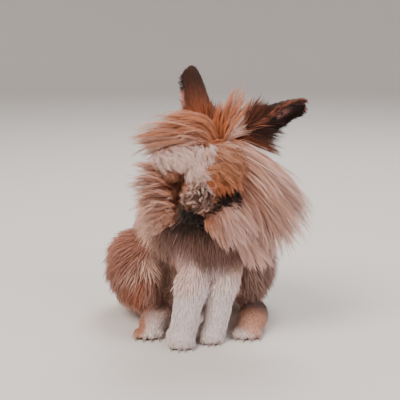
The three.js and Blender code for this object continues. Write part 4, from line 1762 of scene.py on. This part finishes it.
FANS = (
    Fan(
        "mane_right_hair",
        (
            ((13, -50, 211), (-34, -46, 224), 6),
            ((11, -52, 208), (-52, -44, 217), 9),
            ((8, -54, 204), (-70, -44, 203), 11),
            ((6, -52, 202), (-74, -42, 189), 11),
            ((3, -48, 200), (-70, -42, 179), 9),
            ((1, -44, 198), (-54, -42, 181), 7),
        ),
        (0, -4, 8),
        strands=4300, clumps=400, ends=24, slot="coat_tan", node="mane_right",
        root_tones=(Tone.ORANGE, Tone.ORANGE, Tone.ORANGE, Tone.RUST),
        tip_tones=(Tone.TAN, Tone.TAN, Tone.CREAM, Tone.TAN),
        streak=Tone.RUST, streaks=0.3, shortest=0.3, gather=0.38, loose_share=0.12, width=0.45,
    ),
    Fan(
        "mane_left_hair",
        (
            ((28, -46, 201), (86, -36, 156), 6),
            ((27, -50, 199), (103, -37, 144), 8),
            ((28, -53, 196), (109, -38, 124), 11),
            ((31, -53, 189), (112, -38, 105), 14),
            ((35, -50, 178), (104, -40, 89), 15),
            ((37, -48, 166), (82, -45, 78), 15),
            ((36, -48, 156), (62, -50, 70), 14),
        ),
        (7, -9, 1),
        strands=6300, clumps=560, ends=30, slot="coat_cream", node="mane_left",
        root_tones=(Tone.RUST, Tone.TAN, Tone.CREAM, Tone.TAN, *[Tone.ORANGE] * 4),
        tip_tones=(Tone.TAN, Tone.CREAM, *[Tone.WHITE] * 3, Tone.CREAM, Tone.CREAM, Tone.WHITE),
        streak=Tone.TAN, shortest=0.4, gather=0.45, loose_share=0.08, fade=0.9,
    ),
    Fan(
        "cheek_left_hair",
        (
            ((14, -56, 197), (42, -56, 187), 4),
            ((11, -62, 188), (48, -58, 166), 5),
            ((9, -65, 181), (43, -60, 151), 6),
            ((7, -68, 172), (30, -64, 147), 6),
            ((4, -72, 163), (16, -71, 148), 4),
        ),
        (3, -11, 7),
        strands=3300, clumps=330, ends=34, slot="coat_orange",
        root_tones=(Tone.CREAM, Tone.CREAM, Tone.APRICOT, Tone.APRICOT, Tone.ORANGE),
        tip_tones=(Tone.TAN, Tone.APRICOT, Tone.APRICOT, Tone.ORANGE, Tone.RUST),
        streaks=0.4, shortest=0.25, thinning=0.9, gather=0.3, loose_share=0.1, width=0.45, rings=3,
    ),
    Fan(
        "breast_left_hair",
        (
            ((30, -52, 120), (42, -58, 70), 7),
            ((34, -50, 122), (60, -52, 62), 9),
            ((37, -46, 122), (72, -46, 72), 9),
            ((40, -42, 122), (80, -42, 86), 7),
        ),
        (2, -7, 0),
        strands=1500, clumps=150, ends=14, slot="coat_cream",
        root_tones=(Tone.MAUVE, Tone.TAN, Tone.CREAM),
        tip_tones=(Tone.CREAM, Tone.WHITE, Tone.WHITE),
        streak=Tone.TAN, shortest=0.3, gather=0.4, rings=3,
    ),
    Fan(
        "crown_left_hair",
        (
            ((42, -41, 214), (92, -34, 215), 6),
            ((39, -42, 211), (90, -36, 203), 6),
            ((36, -43, 208), (84, -38, 191), 5),
            ((33, -44, 204), (80, -38, 182), 4),
        ),
        (2, -5, 2),
        strands=1500, clumps=140, ends=16, slot="coat_orange",
        root_tones=(Tone.SABLE, Tone.SOOT, Tone.SABLE, Tone.RUST),
        tip_tones=(Tone.SABLE, Tone.SABLE, Tone.UMBER, Tone.RUST),
        streak=Tone.SOOT, streaks=0.4, shortest=0.25, loose_share=0.15, width=0.42,
    ),
    Fan(
        "ruff_right_hair",
        (
            ((-22, -36, 168), (-62, -42, 175), 9),
            ((-25, -38, 159), (-72, -42, 161), 12),
            ((-26, -40, 148), (-72, -40, 144), 13),
            ((-25, -42, 138), (-67, -40, 124), 13),
            ((-23, -45, 131), (-59, -43, 109), 11),
            ((-20, -48, 127), (-38, -50, 116), 8),
        ),
        (-3, -9, 5),
        strands=3500, clumps=480, ends=40, slot="coat_tan", node="ruff_right",
        root_tones=(Tone.ORANGE, Tone.ORANGE, Tone.ORANGE, Tone.ORANGE),
        tip_tones=(Tone.CREAM, Tone.WHITE, Tone.WHITE, Tone.CREAM),
        streaks=0.08, shortest=0.3, thinning=1.2, gather=0.25, loose_share=0.08, fade=1.6, width=0.45,
    ),
    Fan(
        "ruff_left_hair",
        (
            ((6, -60, 137), (6, -72, 119), 5),
            ((9, -60, 138), (16, -77, 105), 7),
            ((13, -60, 140), (30, -78, 97), 8),
            ((18, -58, 142), (45, -77, 97), 8),
            ((25, -56, 144), (55, -71, 105), 8),
            ((32, -52, 146), (59, -64, 119), 7),
        ),
        (1, -7, 2),
        strands=3100, clumps=380, ends=26, slot="coat_cream", node="ruff_left",
        root_tones=(Tone.RUST, Tone.ORANGE, Tone.ORANGE, Tone.TAN, Tone.TAN),
        tip_tones=(Tone.TAN, Tone.CREAM, Tone.WHITE, Tone.WHITE, Tone.CREAM),
        streaks=0.25, shortest=0.4, fade=0.9, width=0.42,
    ),
    Fan(
        "forelock_hair",
        (
            ((14, -44, 206), (14, -42, 232), 4),
            ((17, -44, 206), (30, -40, 253), 6),
            ((21, -45, 206), (48, -38, 266), 8),
            ((25, -45, 205), (72, -34, 260), 8),
            ((28, -46, 204), (72, -36, 236), 6),
            ((29, -48, 203), (58, -42, 211), 5),
        ),
        (-1, -5, 3),
        strands=1800, clumps=200, ends=26, slot="coat_cream", node="forelock",
        root_tones=(Tone.RUST, Tone.ORANGE, Tone.ORANGE, Tone.CREAM, Tone.CREAM),
        tip_tones=(Tone.ORANGE, Tone.ORANGE, Tone.TAN, Tone.CREAM, Tone.CREAM),
        streaks=0.35, shortest=0.2, thinning=0.62, width=0.42,
    ),
)


# Ears


@dataclass
class Ear:
    """An ear: a thin leaf of gristle rolled round its length, furred outside and pink within."""

    name: str
    root: Point
    pointing: Point
    hollow: Point
    tip_roll: float
    bend: float
    tones: tuple[str, ...]
    edge_tones: tuple[str, str]
    bare_rim: tuple[float, float] = (2.0, 3.0)
    width: float = 40.0
    length: float = 75.0
    thickness: float = 1.5
    root_roll: float = 135.0
    tuft_counts: tuple[int, int, int] = (2900, 1200, 800)  # on the back, along the edges and in the hollow
    # roots are painted darker as shade in the fur, tips lighter as light on it
    root_shade: float = 0.75
    tip_shade: float = 1.12

    def axes(self) -> Array:
        """Gives the ear's own side, back and lengthwise directions as columns."""
        along = unit(np.array(self.pointing, float))
        back = -np.array(self.hollow, float)
        back = unit(back - back @ along * along)
        return np.stack([np.cross(back, along), back, along], axis=1)

    def at(self, across: Array, share: Array, layer: Array) -> Array:
        """Gives places on the ear.

        Args:
            across: From -1 at one edge to 1 at the other.
            share: From 0 at the root to 1 at the tip.
            layer: -1 on the back, 1 in the hollow.

        Returns:
            Places in the drawing frame.
        """
        taper = (0.55 + 0.45 * ramp(0, 0.4, share)) * (1 - 0.42 * ramp(0.4, 1, share))
        fall = np.maximum(share - 0.8, 0) / 0.2
        leaf = taper * np.maximum(np.sqrt(np.maximum(1 - fall**2.8, 0)), 0.3)
        rim = 1 - 0.55 * np.abs(across) ** 3
        half = self.thickness * (1 - 0.35 * share) * rim / 2
        roll = np.radians(self.root_roll + (self.tip_roll - self.root_roll) * np.sqrt(share))
        radius = np.maximum(self.width * 0.5 * leaf / roll, 2.4)
        angle = across * roll
        reach = radius - layer * half
        back = reach * np.cos(angle) - radius + self.bend * share**2
        local = np.stack([reach * np.sin(angle), back, (self.length - 2) * share], axis=-1)
        return local @ self.axes().T + np.array(self.root)

    def directions(self, across: Array, share: Array, layer: Array) -> tuple[Array, Array, Array]:
        """Gives the surface's normal, its direction to the tip and its direction across."""
        step = 0.01
        above, below = (self.at(across, np.clip(share + move, 0, 1), layer) for move in (step, -step))
        along = unit(above - below)
        aside = unit(self.at(across + step, share, layer) - self.at(across - step, share, layer))
        normal = unit(np.cross(aside, along)) * layer[:, None]
        outward = self.at(across, share, layer * 2) - self.at(across, share, layer)
        flip = np.where((normal * outward).sum(axis=1) < 0, -1.0, 1.0)
        return normal * flip[:, None], along, aside

    def colour(self, across: Array, share: Array) -> Array:
        """Colours the fur of the ear's back from root to tip, with its own tone along each edge."""
        tones = np.array([linear(code) for code in self.tones])
        colour = curve_points(tones, share)
        near, far = (linear(code) for code in self.edge_tones)
        start, end = (ramp(limit - 0.04, limit + 0.04, share) for limit in self.bare_rim)
        bare = (across > 0) * start * (1 - end)
        far = far + bare[:, None] * (linear(Tone.PINK) - far)
        edge_colour = np.where((across < 0)[:, None], near, far)
        edge = ramp(0.7, 0.96, np.abs(across))[:, None] * 0.9
        return np.clip(colour * (1 - edge) + edge_colour * edge, 0, 1)

    def shell(self) -> Shell:
        """Builds the closed leaf with pink skin in the hollow."""
        steps, rings = 22, 40
        across = np.concatenate([np.linspace(-1, 1, steps), np.linspace(1, -1, steps)])
        layer = np.concatenate([-np.ones(steps), np.ones(steps)])
        share = 1 - np.linspace(1, 0, rings + 1) ** 1.8
        grid_across, grid_share = np.meshgrid(across, share)
        grid_layer = np.meshgrid(layer, share)[0]
        flat = [value.ravel() for value in (grid_across, grid_share, grid_layer)]
        points = self.at(*flat)
        size = len(across)
        faces = ring_faces(rings + 1, size)
        for j, order in ((0, -1), (rings, 1)):
            for i in range(steps - 1):
                a, b = j * size + i, j * size + i + 1
                c, d = j * size + size - 2 - i, j * size + size - 1 - i
                faces.append([a, b, c, d][::order])
        # the back's skin is painted darker than its fur, as shade under the fur
        back = self.colour(flat[0], flat[1]) * 0.7
        bare = 1 - ramp(0.12, 0.38, np.abs(flat[0] - 0.4))
        bare = bare * ramp(0.15, 0.35, flat[1]) * (1 - ramp(0.6, 0.86, flat[1]))
        # the hollow is near black, dark hair deepened by painted shade, round a patch of bare pink skin
        inner = linear(Tone.SOOT)
        inner = inner + bare[:, None] * (linear(Tone.PINK) - inner)
        tint = np.where((flat[2] > 0)[:, None], inner, back)
        return Shell(points, faces, tint)

    def tufts(self, rng: np.random.Generator) -> Tufts:
        """Plants short fur on the back, fringes on the edges and thin hair in the hollow."""
        back, edge, inner = self.tuft_counts
        across_back = rng.uniform(-1, 1, back)
        across_edge = rng.choice([-1, 1], edge) * rng.uniform(0.86, 1, edge)
        across = np.concatenate([across_back, across_edge, rng.uniform(-1, 1, inner)])
        share = [rng.random(count) ** power for count, power in ((back, 1.05), (edge, 0.9), (inner, 1.3))]
        share = np.concatenate(share) * 0.985
        layer = np.concatenate([-np.ones(back), rng.choice([-1, 1], edge), np.ones(inner)])
        roots = self.at(across, share, layer)
        normal, along, aside = self.directions(across, share, layer)
        outward = aside * np.sign(across)[:, None]
        fringe = np.concatenate([np.zeros(back), np.full(edge, 0.6), np.full(inner, -0.4)])[:, None]
        count = len(across)
        high = ramp(0.8, 1, share)[:, None]
        lie = along * (1 - 0.5 * high) + outward * (fringe + 0.7 * high)
        lie = unit(lie + rng.normal(0, 0.16, (count, 3)))
        lie = unit(lie - along_normal(lie, normal) * 0.7)
        low = 1 - ramp(0.05, 0.45, share)
        along_edge = np.concatenate([np.zeros(back), np.ones(edge), np.zeros(inner)])
        length = (5.0 + 18.0 * low + 2.0 * along_edge) * vary(rng, 0.25, 0.5, 1.6, count)
        length = length * (1 - 0.45 * high[:, 0])
        lift = np.clip(0.28 + 0.2 * low + 0.2 * along_edge + rng.normal(0, 0.1, count), 0.03, 1)
        width = 0.6 * vary(rng, 0.2, 0.5, 1.5, count)
        colour = self.colour(across, share)
        fiery = (along_edge > 0) & (across < 0) & (rng.random(count) < 0.45)
        colour = np.where(fiery[:, None], linear(Tone.CHESTNUT), colour)
        inside = (layer > 0)[:, None] & (np.arange(count) >= back + edge)[:, None]
        # hair in the hollow is dark brown, with painted shade that deepens towards the root
        colour = np.where(inside, linear(Tone.SABLE) * (0.9 - 0.4 * low[:, None]), colour)
        colour = np.where((share > 0.95)[:, None] & (layer > 0)[:, None], linear(Tone.PINK), colour)
        colour = colour * (1 + rng.normal(0, 0.22, (count, 1)))
        base, tip = (np.clip(colour * shade, 0, 1) for shade in (self.root_shade, self.tip_shade))
        return Tufts(roots, normal, lie, length, lift, width, base, tip)

    def build(self, number: int, place: Place) -> bpy.types.Object:
        """Shows the fur of the ear."""
        rng = draws(EAR_DRAWS, number)
        strands = grow(self.tufts(rng), Growth(2, 0.3, 8, 0.03, 0.8, softness=0.5), rng)
        name = f"coat_{self.name}"
        return show(name, strands.mesh(name, place, rng), SHORT_FUR)


def ears() -> list[Ear]:
    """Gives the two ears as they stand in the pose."""
    return [
        Ear(
            "ear_left", (38, -42, 213), (72, 37, 57), (0.68, -0.47, -0.55), 56, -24,
            (Tone.UMBER, Tone.SABLE, Tone.SABLE, Tone.SABLE), (Tone.SABLE, Tone.SOOT),
            width=48.0, length=63.5,
        ),
        Ear(
            "ear_right", (9, -38, 210), (-20, 50, 50), (-0.35, 0.9, -0.3), 74, 10,
            (Tone.RUST, Tone.UMBER, Tone.UMBER, Tone.SABLE, Tone.SABLE), (Tone.UMBER, Tone.SOOT),
            bare_rim=(0.46, 0.68), width=42.0,
        ),
    ]


# Eyes, nose and claws


@dataclass
class Eye:
    """One eye with its lids."""

    side: int
    posture: Posture
    centre: Point = (21.5, 42.0, 12.0)
    radius: float = 7.2
    axis: Point = (0.93, -0.24, 0.22)
    pupil: float = 26.0  # degrees off the axis, and the iris too
    iris: float = 54.0
    bulge: float = 0.05  # how far the cornea stands out, as a share of the radius

    def frame(self) -> tuple[Array, Array]:
        """Gives the eye's centre, and its axes as columns: forward, up and outward."""
        flip = np.array([self.side, 1, 1])
        outward = unit(np.array(self.axis) * flip)
        up = unit(np.array([0, 0, 1.0]) - outward[2] * outward)
        forward = np.cross(up, outward) * self.side
        matrix = self.posture.matrix(Zone.HEAD) @ np.stack([forward, up, outward], axis=1)
        return self.posture.out(Zone.HEAD, [np.array(self.centre) * flip])[0], matrix

    def ball(self) -> Shell:
        """Builds the eyeball with its bulging cornea, iris and pupil."""
        rings, sides = 48, 56
        polar = np.linspace(0, math.pi, rings + 1)[1:-1]
        grid_polar, grid_turn = (value.ravel() for value in np.meshgrid(polar, circle(sides), indexing="ij"))
        degrees = np.degrees(grid_polar)
        size = self.radius * (1 + self.bulge * (1 - ramp(0, self.iris, degrees)))
        front, back = [[0, 0, self.radius * (1 + self.bulge)]], [[0, 0, -self.radius]]
        local = np.concatenate([on_sphere(grid_polar, grid_turn) * size[:, None], front, back])
        degrees = np.append(degrees, [0, 180])
        rows = rings - 1
        faces = ring_faces(rows, sides, turned=True)
        top, bottom, last = len(local) - 2, len(local) - 1, (rows - 1) * sides
        faces += [[top, i, (i + 1) % sides] for i in range(sides)]
        faces += [[bottom, last + (i + 1) % sides, last + i] for i in range(sides)]
        codes = (Tone.PUPIL, Tone.IRIS, Tone.LIMBUS, Tone.SCLERA)
        dark, brown, rim, white = (linear(code) for code in codes)
        turn_all = np.append(grid_turn, [0, 0])
        rays = (0.8 + 0.35 * np.sin(turn_all * 23 + 3 * np.sin(turn_all * 5)))[:, None]
        tint = dark + (brown * rays - dark) * ramp(self.pupil - 2, self.pupil + 3, degrees)[:, None]
        tint = tint + (rim - tint) * ramp(self.iris - 12, self.iris - 1, degrees)[:, None]
        tint = tint + (white - tint) * ramp(self.iris + 4, self.iris + 14, degrees)[:, None]
        centre, matrix = self.frame()
        return Shell(local, faces, tint).moved(matrix, centre)

    def lids(self) -> Shell:
        """Builds the rim of the lids round the opening, and the folds that run from it into the face."""
        sides = 64
        turn = circle(sides)
        opening = np.radians(52 - 8 * np.abs(np.sin(turn)) ** 1.4)
        profile = [
            (0.0, 0.15), (0.0, 0.75), (4.0, 1.15), (10.0, 1.1), (17.0, 1.5), (25.0, 1.1), (34.0, 0.2),
            (44.0, -1.4), (44.0, -3.0), (20.0, -1.0), (8.0, 0.0),
        ]
        points, tints = [], []
        for degrees, height in profile:
            points.append(on_sphere(opening + math.radians(degrees), turn) * (self.radius + height))
            shade = linear(Tone.LID) + (linear(Tone.RUST) * 0.5 - linear(Tone.LID)) * min(degrees / 30, 1)
            tints.append(np.tile(shade, (sides, 1)))
        faces = ring_faces(len(profile), sides, turned=True, wrapped=True)
        centre, matrix = self.frame()
        return Shell(np.concatenate(points), faces, np.concatenate(tints)).moved(matrix, centre)

    def build(self, place: Place) -> bpy.types.Object:
        """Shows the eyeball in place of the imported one."""
        name = "left" if self.side > 0 else "right"
        piece = show_shell(f"eyeball_{name}", self.ball(), place, CORNEA)
        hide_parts(f"eye_{name}")
        return piece


@dataclass
class Nose:
    """The bare nose between the lips: two slanting nostrils and the cleft below them."""

    posture: Posture
    half_width: float = 5.2
    half_height: float = 4.8
    depth: float = 3.0

    def shell(self) -> Shell:
        """Builds the nose as a closed cushion with its slits pressed in."""
        steps = 44
        line = np.linspace(-1, 1, steps)
        x, z = (value.ravel() for value in np.meshgrid(line, line))
        radius = np.maximum(np.abs(x), np.abs(z))
        scale = radius / np.maximum(np.hypot(x, z), TINY)
        x, z = x * scale, z * scale
        dome = np.sqrt(np.maximum(1 - x**2 - z**2, 0))
        slit = np.exp(-(((np.abs(x) - 0.5 - 0.28 * (z - 0.2)) / 0.13) ** 2) - ((z - 0.22) / 0.34) ** 2)
        cleft = np.exp(-((x / 0.09) ** 2)) * (1 - ramp(-0.1, 0.35, z))
        front = -self.depth * dome + 1.9 * slit + 1.1 * cleft
        wide, high = x * self.half_width, z * self.half_height - 2.2
        points = np.concatenate([np.stack([wide, y, high], axis=1) for y in (front, 2.5 * dome)])
        size, last = len(x), steps - 1
        corners = [j * steps + i for j in range(last) for i in range(last)]
        faces = [[k, k + 1, k + steps + 1, k + steps] for k in corners]
        border = {k for k in range(size) if k % steps in (0, last) or k // steps in (0, last)}
        faces += [[k if k in border else k + size for k in face][::-1] for face in faces]
        # the slits and the cleft are painted darker, as shade in them
        shade = np.clip(slit + 0.8 * cleft, 0, 1)[:, None]
        tint = np.tile(linear(Tone.NOSE) * (1 - 0.85 * shade), (2, 1))
        used = np.unique([k for face in faces for k in face])
        renumber = {int(old): new for new, old in enumerate(used)}
        faces = [[renumber[int(k)] for k in face] for face in faces]
        return Shell(self.posture.out(Zone.HEAD, points[used]), faces, tint[used])

    def build(self, place: Place) -> bpy.types.Object:
        """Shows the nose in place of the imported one."""
        piece = show_shell("nose_tip", self.shell(), place, NOSE_SKIN)
        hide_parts("nose")
        return piece


@dataclass
class Claws:
    """The claws of one foot."""

    name: str
    tip: tuple[float, float]
    spread: float
    height: float = 3.4
    length: float = 3.4
    thickness: float = 0.75

    def shell(self) -> Shell:
        """Builds four small curved cones that point forward and down."""
        rings, sides = 8, 10
        shells = []
        for offset in np.linspace(-1, 1, 4):
            share = np.linspace(0, 1, rings)
            y = self.tip[1] + abs(offset) ** 1.5 * 4 + 1.5 - self.length * share
            z = self.height - 2.6 * share**2
            x = np.full(rings, self.tip[0] + offset * self.spread)
            radius = self.thickness * (1 - share) ** 0.7 + 0.12
            angle = circle(sides)
            ring = np.stack([np.cos(angle), np.zeros(sides), np.sin(angle) * 1.25], axis=1)
            middle = np.stack([x, y, z], axis=1)[:, None]
            points = (middle + ring[None] * radius[:, None, None]).reshape(-1, 3)
            points[:, 2] = np.maximum(points[:, 2], FLOOR_GAP)
            faces = ring_faces(rings, sides, turned=True)
            faces.append(list(range(sides)))
            faces.append([(rings - 1) * sides + i for i in range(sides)][::-1])
            tint = np.repeat(linear(Tone.HORN) * (1 - 0.5 * share[:, None]), sides, axis=0)
            shells.append(Shell(points, faces, tint))
        return merged(shells)

    def build(self, place: Place) -> bpy.types.Object:
        """Shows the claws."""
        return show_shell(f"claws_{self.name}", self.shell(), place, HORN)


# Studio


@dataclass(frozen=True)
class Studio:
    """A pale round paper sweep, soft lamps and the camera, in metres and degrees."""

    eye_height: float = 0.308
    distance: float = 0.822
    pitch: float = 12.0
    view_angle: float = 27.0
    sweep_radius: float = 3.0
    sweep_curve: float = 1.2
    sweep_height: float = 3.5
    target: Point = (0.0, 0.0, 0.12)  # where the lamps point

    def camera(self, place: Place) -> None:
        """Sets the camera at the photograph's viewing angle."""
        data = bpy.data.cameras.new("camera")
        data.sensor_width = 36.0
        data.lens = data.sensor_width / 2 / math.tan(math.radians(self.view_angle / 2))
        camera = bpy.data.objects.new("camera", data)
        at = place.metres(np.array([[0, -self.distance / MILLIMETRE, self.eye_height / MILLIMETRE]]))[0]
        camera.location = Vector(at)
        camera.rotation_euler = (math.radians(90 - self.pitch), 0, 0)
        bpy.context.scene.collection.objects.link(camera)
        bpy.context.scene.camera = camera

    def sweep(self) -> None:
        """Lays the floor, which curves up all round far behind the animal."""
        radii = [0.0, 0.5, 1.0, 2.0, self.sweep_radius]
        heights = [0.0] * len(radii)
        for angle in np.linspace(0, math.pi / 2, 12)[1:]:
            radii.append(self.sweep_radius + self.sweep_curve * math.sin(angle))
            heights.append(self.sweep_curve * (1 - math.cos(angle)))
        radii.append(radii[-1])
        heights.append(self.sweep_height)
        sides = 96
        points = [(0.0, 0.0, 0.0)]
        for radius, height in list(zip(radii, heights))[1:]:
            points += [(radius * math.cos(a), radius * math.sin(a), height) for a in circle(sides)]
        faces = [[0, 1 + i, 1 + (i + 1) % sides] for i in range(sides)]
        faces += ring_faces(len(radii) - 1, sides, turned=True, start=1)
        mesh = bpy.data.meshes.new("paper_sweep")
        mesh.from_pydata(points, [], faces)
        mesh.polygons.foreach_set("use_smooth", np.ones(len(mesh.polygons), bool))
        mesh.materials.append(PAPER.make())
        floor = bpy.data.objects.new("paper_sweep", mesh)
        bpy.context.scene.collection.objects.link(floor)

    def lamp(self, name: str, at: Point, size: float, power: float, code: str) -> None:
        """Hangs a soft lamp that shines at the animal."""
        data = bpy.data.lights.new(name, "AREA")
        data.shape = "DISK"
        data.size = size
        data.energy = power
        data.color = tuple(linear(code))
        lamp = bpy.data.objects.new(name, data)
        lamp.location = at
        lamp.rotation_euler = (Vector(self.target) - Vector(at)).to_track_quat("-Z", "Y").to_euler()
        bpy.context.scene.collection.objects.link(lamp)

    def build(self, place: Place) -> None:
        """Sets up the camera, the sweep, the lamps and the soft light all round."""
        self.camera(place)
        self.sweep()
        self.lamp("key", (-0.9, -1.1, 1.7), 1.1, 40.0, "#fff4ea")
        self.lamp("fill", (1.4, -1.3, 0.9), 1.6, 18.0, "#f6f6ff")
        self.lamp("top", (0.3, 0.9, 1.9), 1.2, 26.0, "#ffffff")
        world = bpy.data.worlds.new("soft light")
        world.use_nodes = True
        background = world.node_tree.nodes["Background"]
        background.inputs["Color"].default_value = (0.93, 0.95, 1.0, 1.0)
        background.inputs["Strength"].default_value = 0.5
        bpy.context.scene.world = world


def main() -> None:
    """Builds the rabbit and the studio in order."""
    logging.basicConfig(level=logging.INFO, format="%(name)s: %(message)s")
    posture = Posture()
    eyes = [Eye(side, posture) for side in (1, -1)]
    place = Place.from_eyes(posture, (0.0, eyes[0].centre[1], eyes[0].centre[2]))
    log.info("drawing frame is shifted by %s mm", place.shift)
    Studio().build(place)
    markings = Markings(posture)
    skin = Skin(posture, markings)
    surface = skin.surface(Anatomy(posture))
    both_ears = ears()
    skin.build(surface, [ear.shell() for ear in both_ears] + [eye.lids() for eye in eyes], place)
    for eye in eyes:
        eye.build(place)
    Nose(posture).build(place)
    clearings = tuple((eye.frame()[0], eye.radius + 2.6) for eye in eyes)
    nose_middle = posture.out(Zone.HEAD, [(0.0, -1.0, -2.0)])[0]
    groom = Groom(posture, {Zone.HEAD: HEAD_STROKES, Zone.TRUNK: TRUNK_STROKES, Zone.WHOLE: WHOLE_STROKES})
    Coat(surface, groom, markings, (*clearings, (nose_middle, 4.0))).build(place)
    for number, ear in enumerate(both_ears):
        ear.build(number, place)
    loose_wool = Wool(surface, posture)
    for number, puff in enumerate(PUFFS):
        loose_wool.build(puff, number, place)
    hair = LongHair(surface)
    for number, fan in enumerate(FANS):
        hair.build(fan, number, place)
    Claws("forepaw_left", (11, -62), 8.6).build(place)
    Claws("forepaw_right", (-17.5, -76), 10.4).build(place)
    Claws("hind_foot_left", (46.5, -50), 12.2).build(place)
    Claws("hind_foot_right", (-52, -50), 11.8).build(place)


if __name__ == "__main__":
    main()
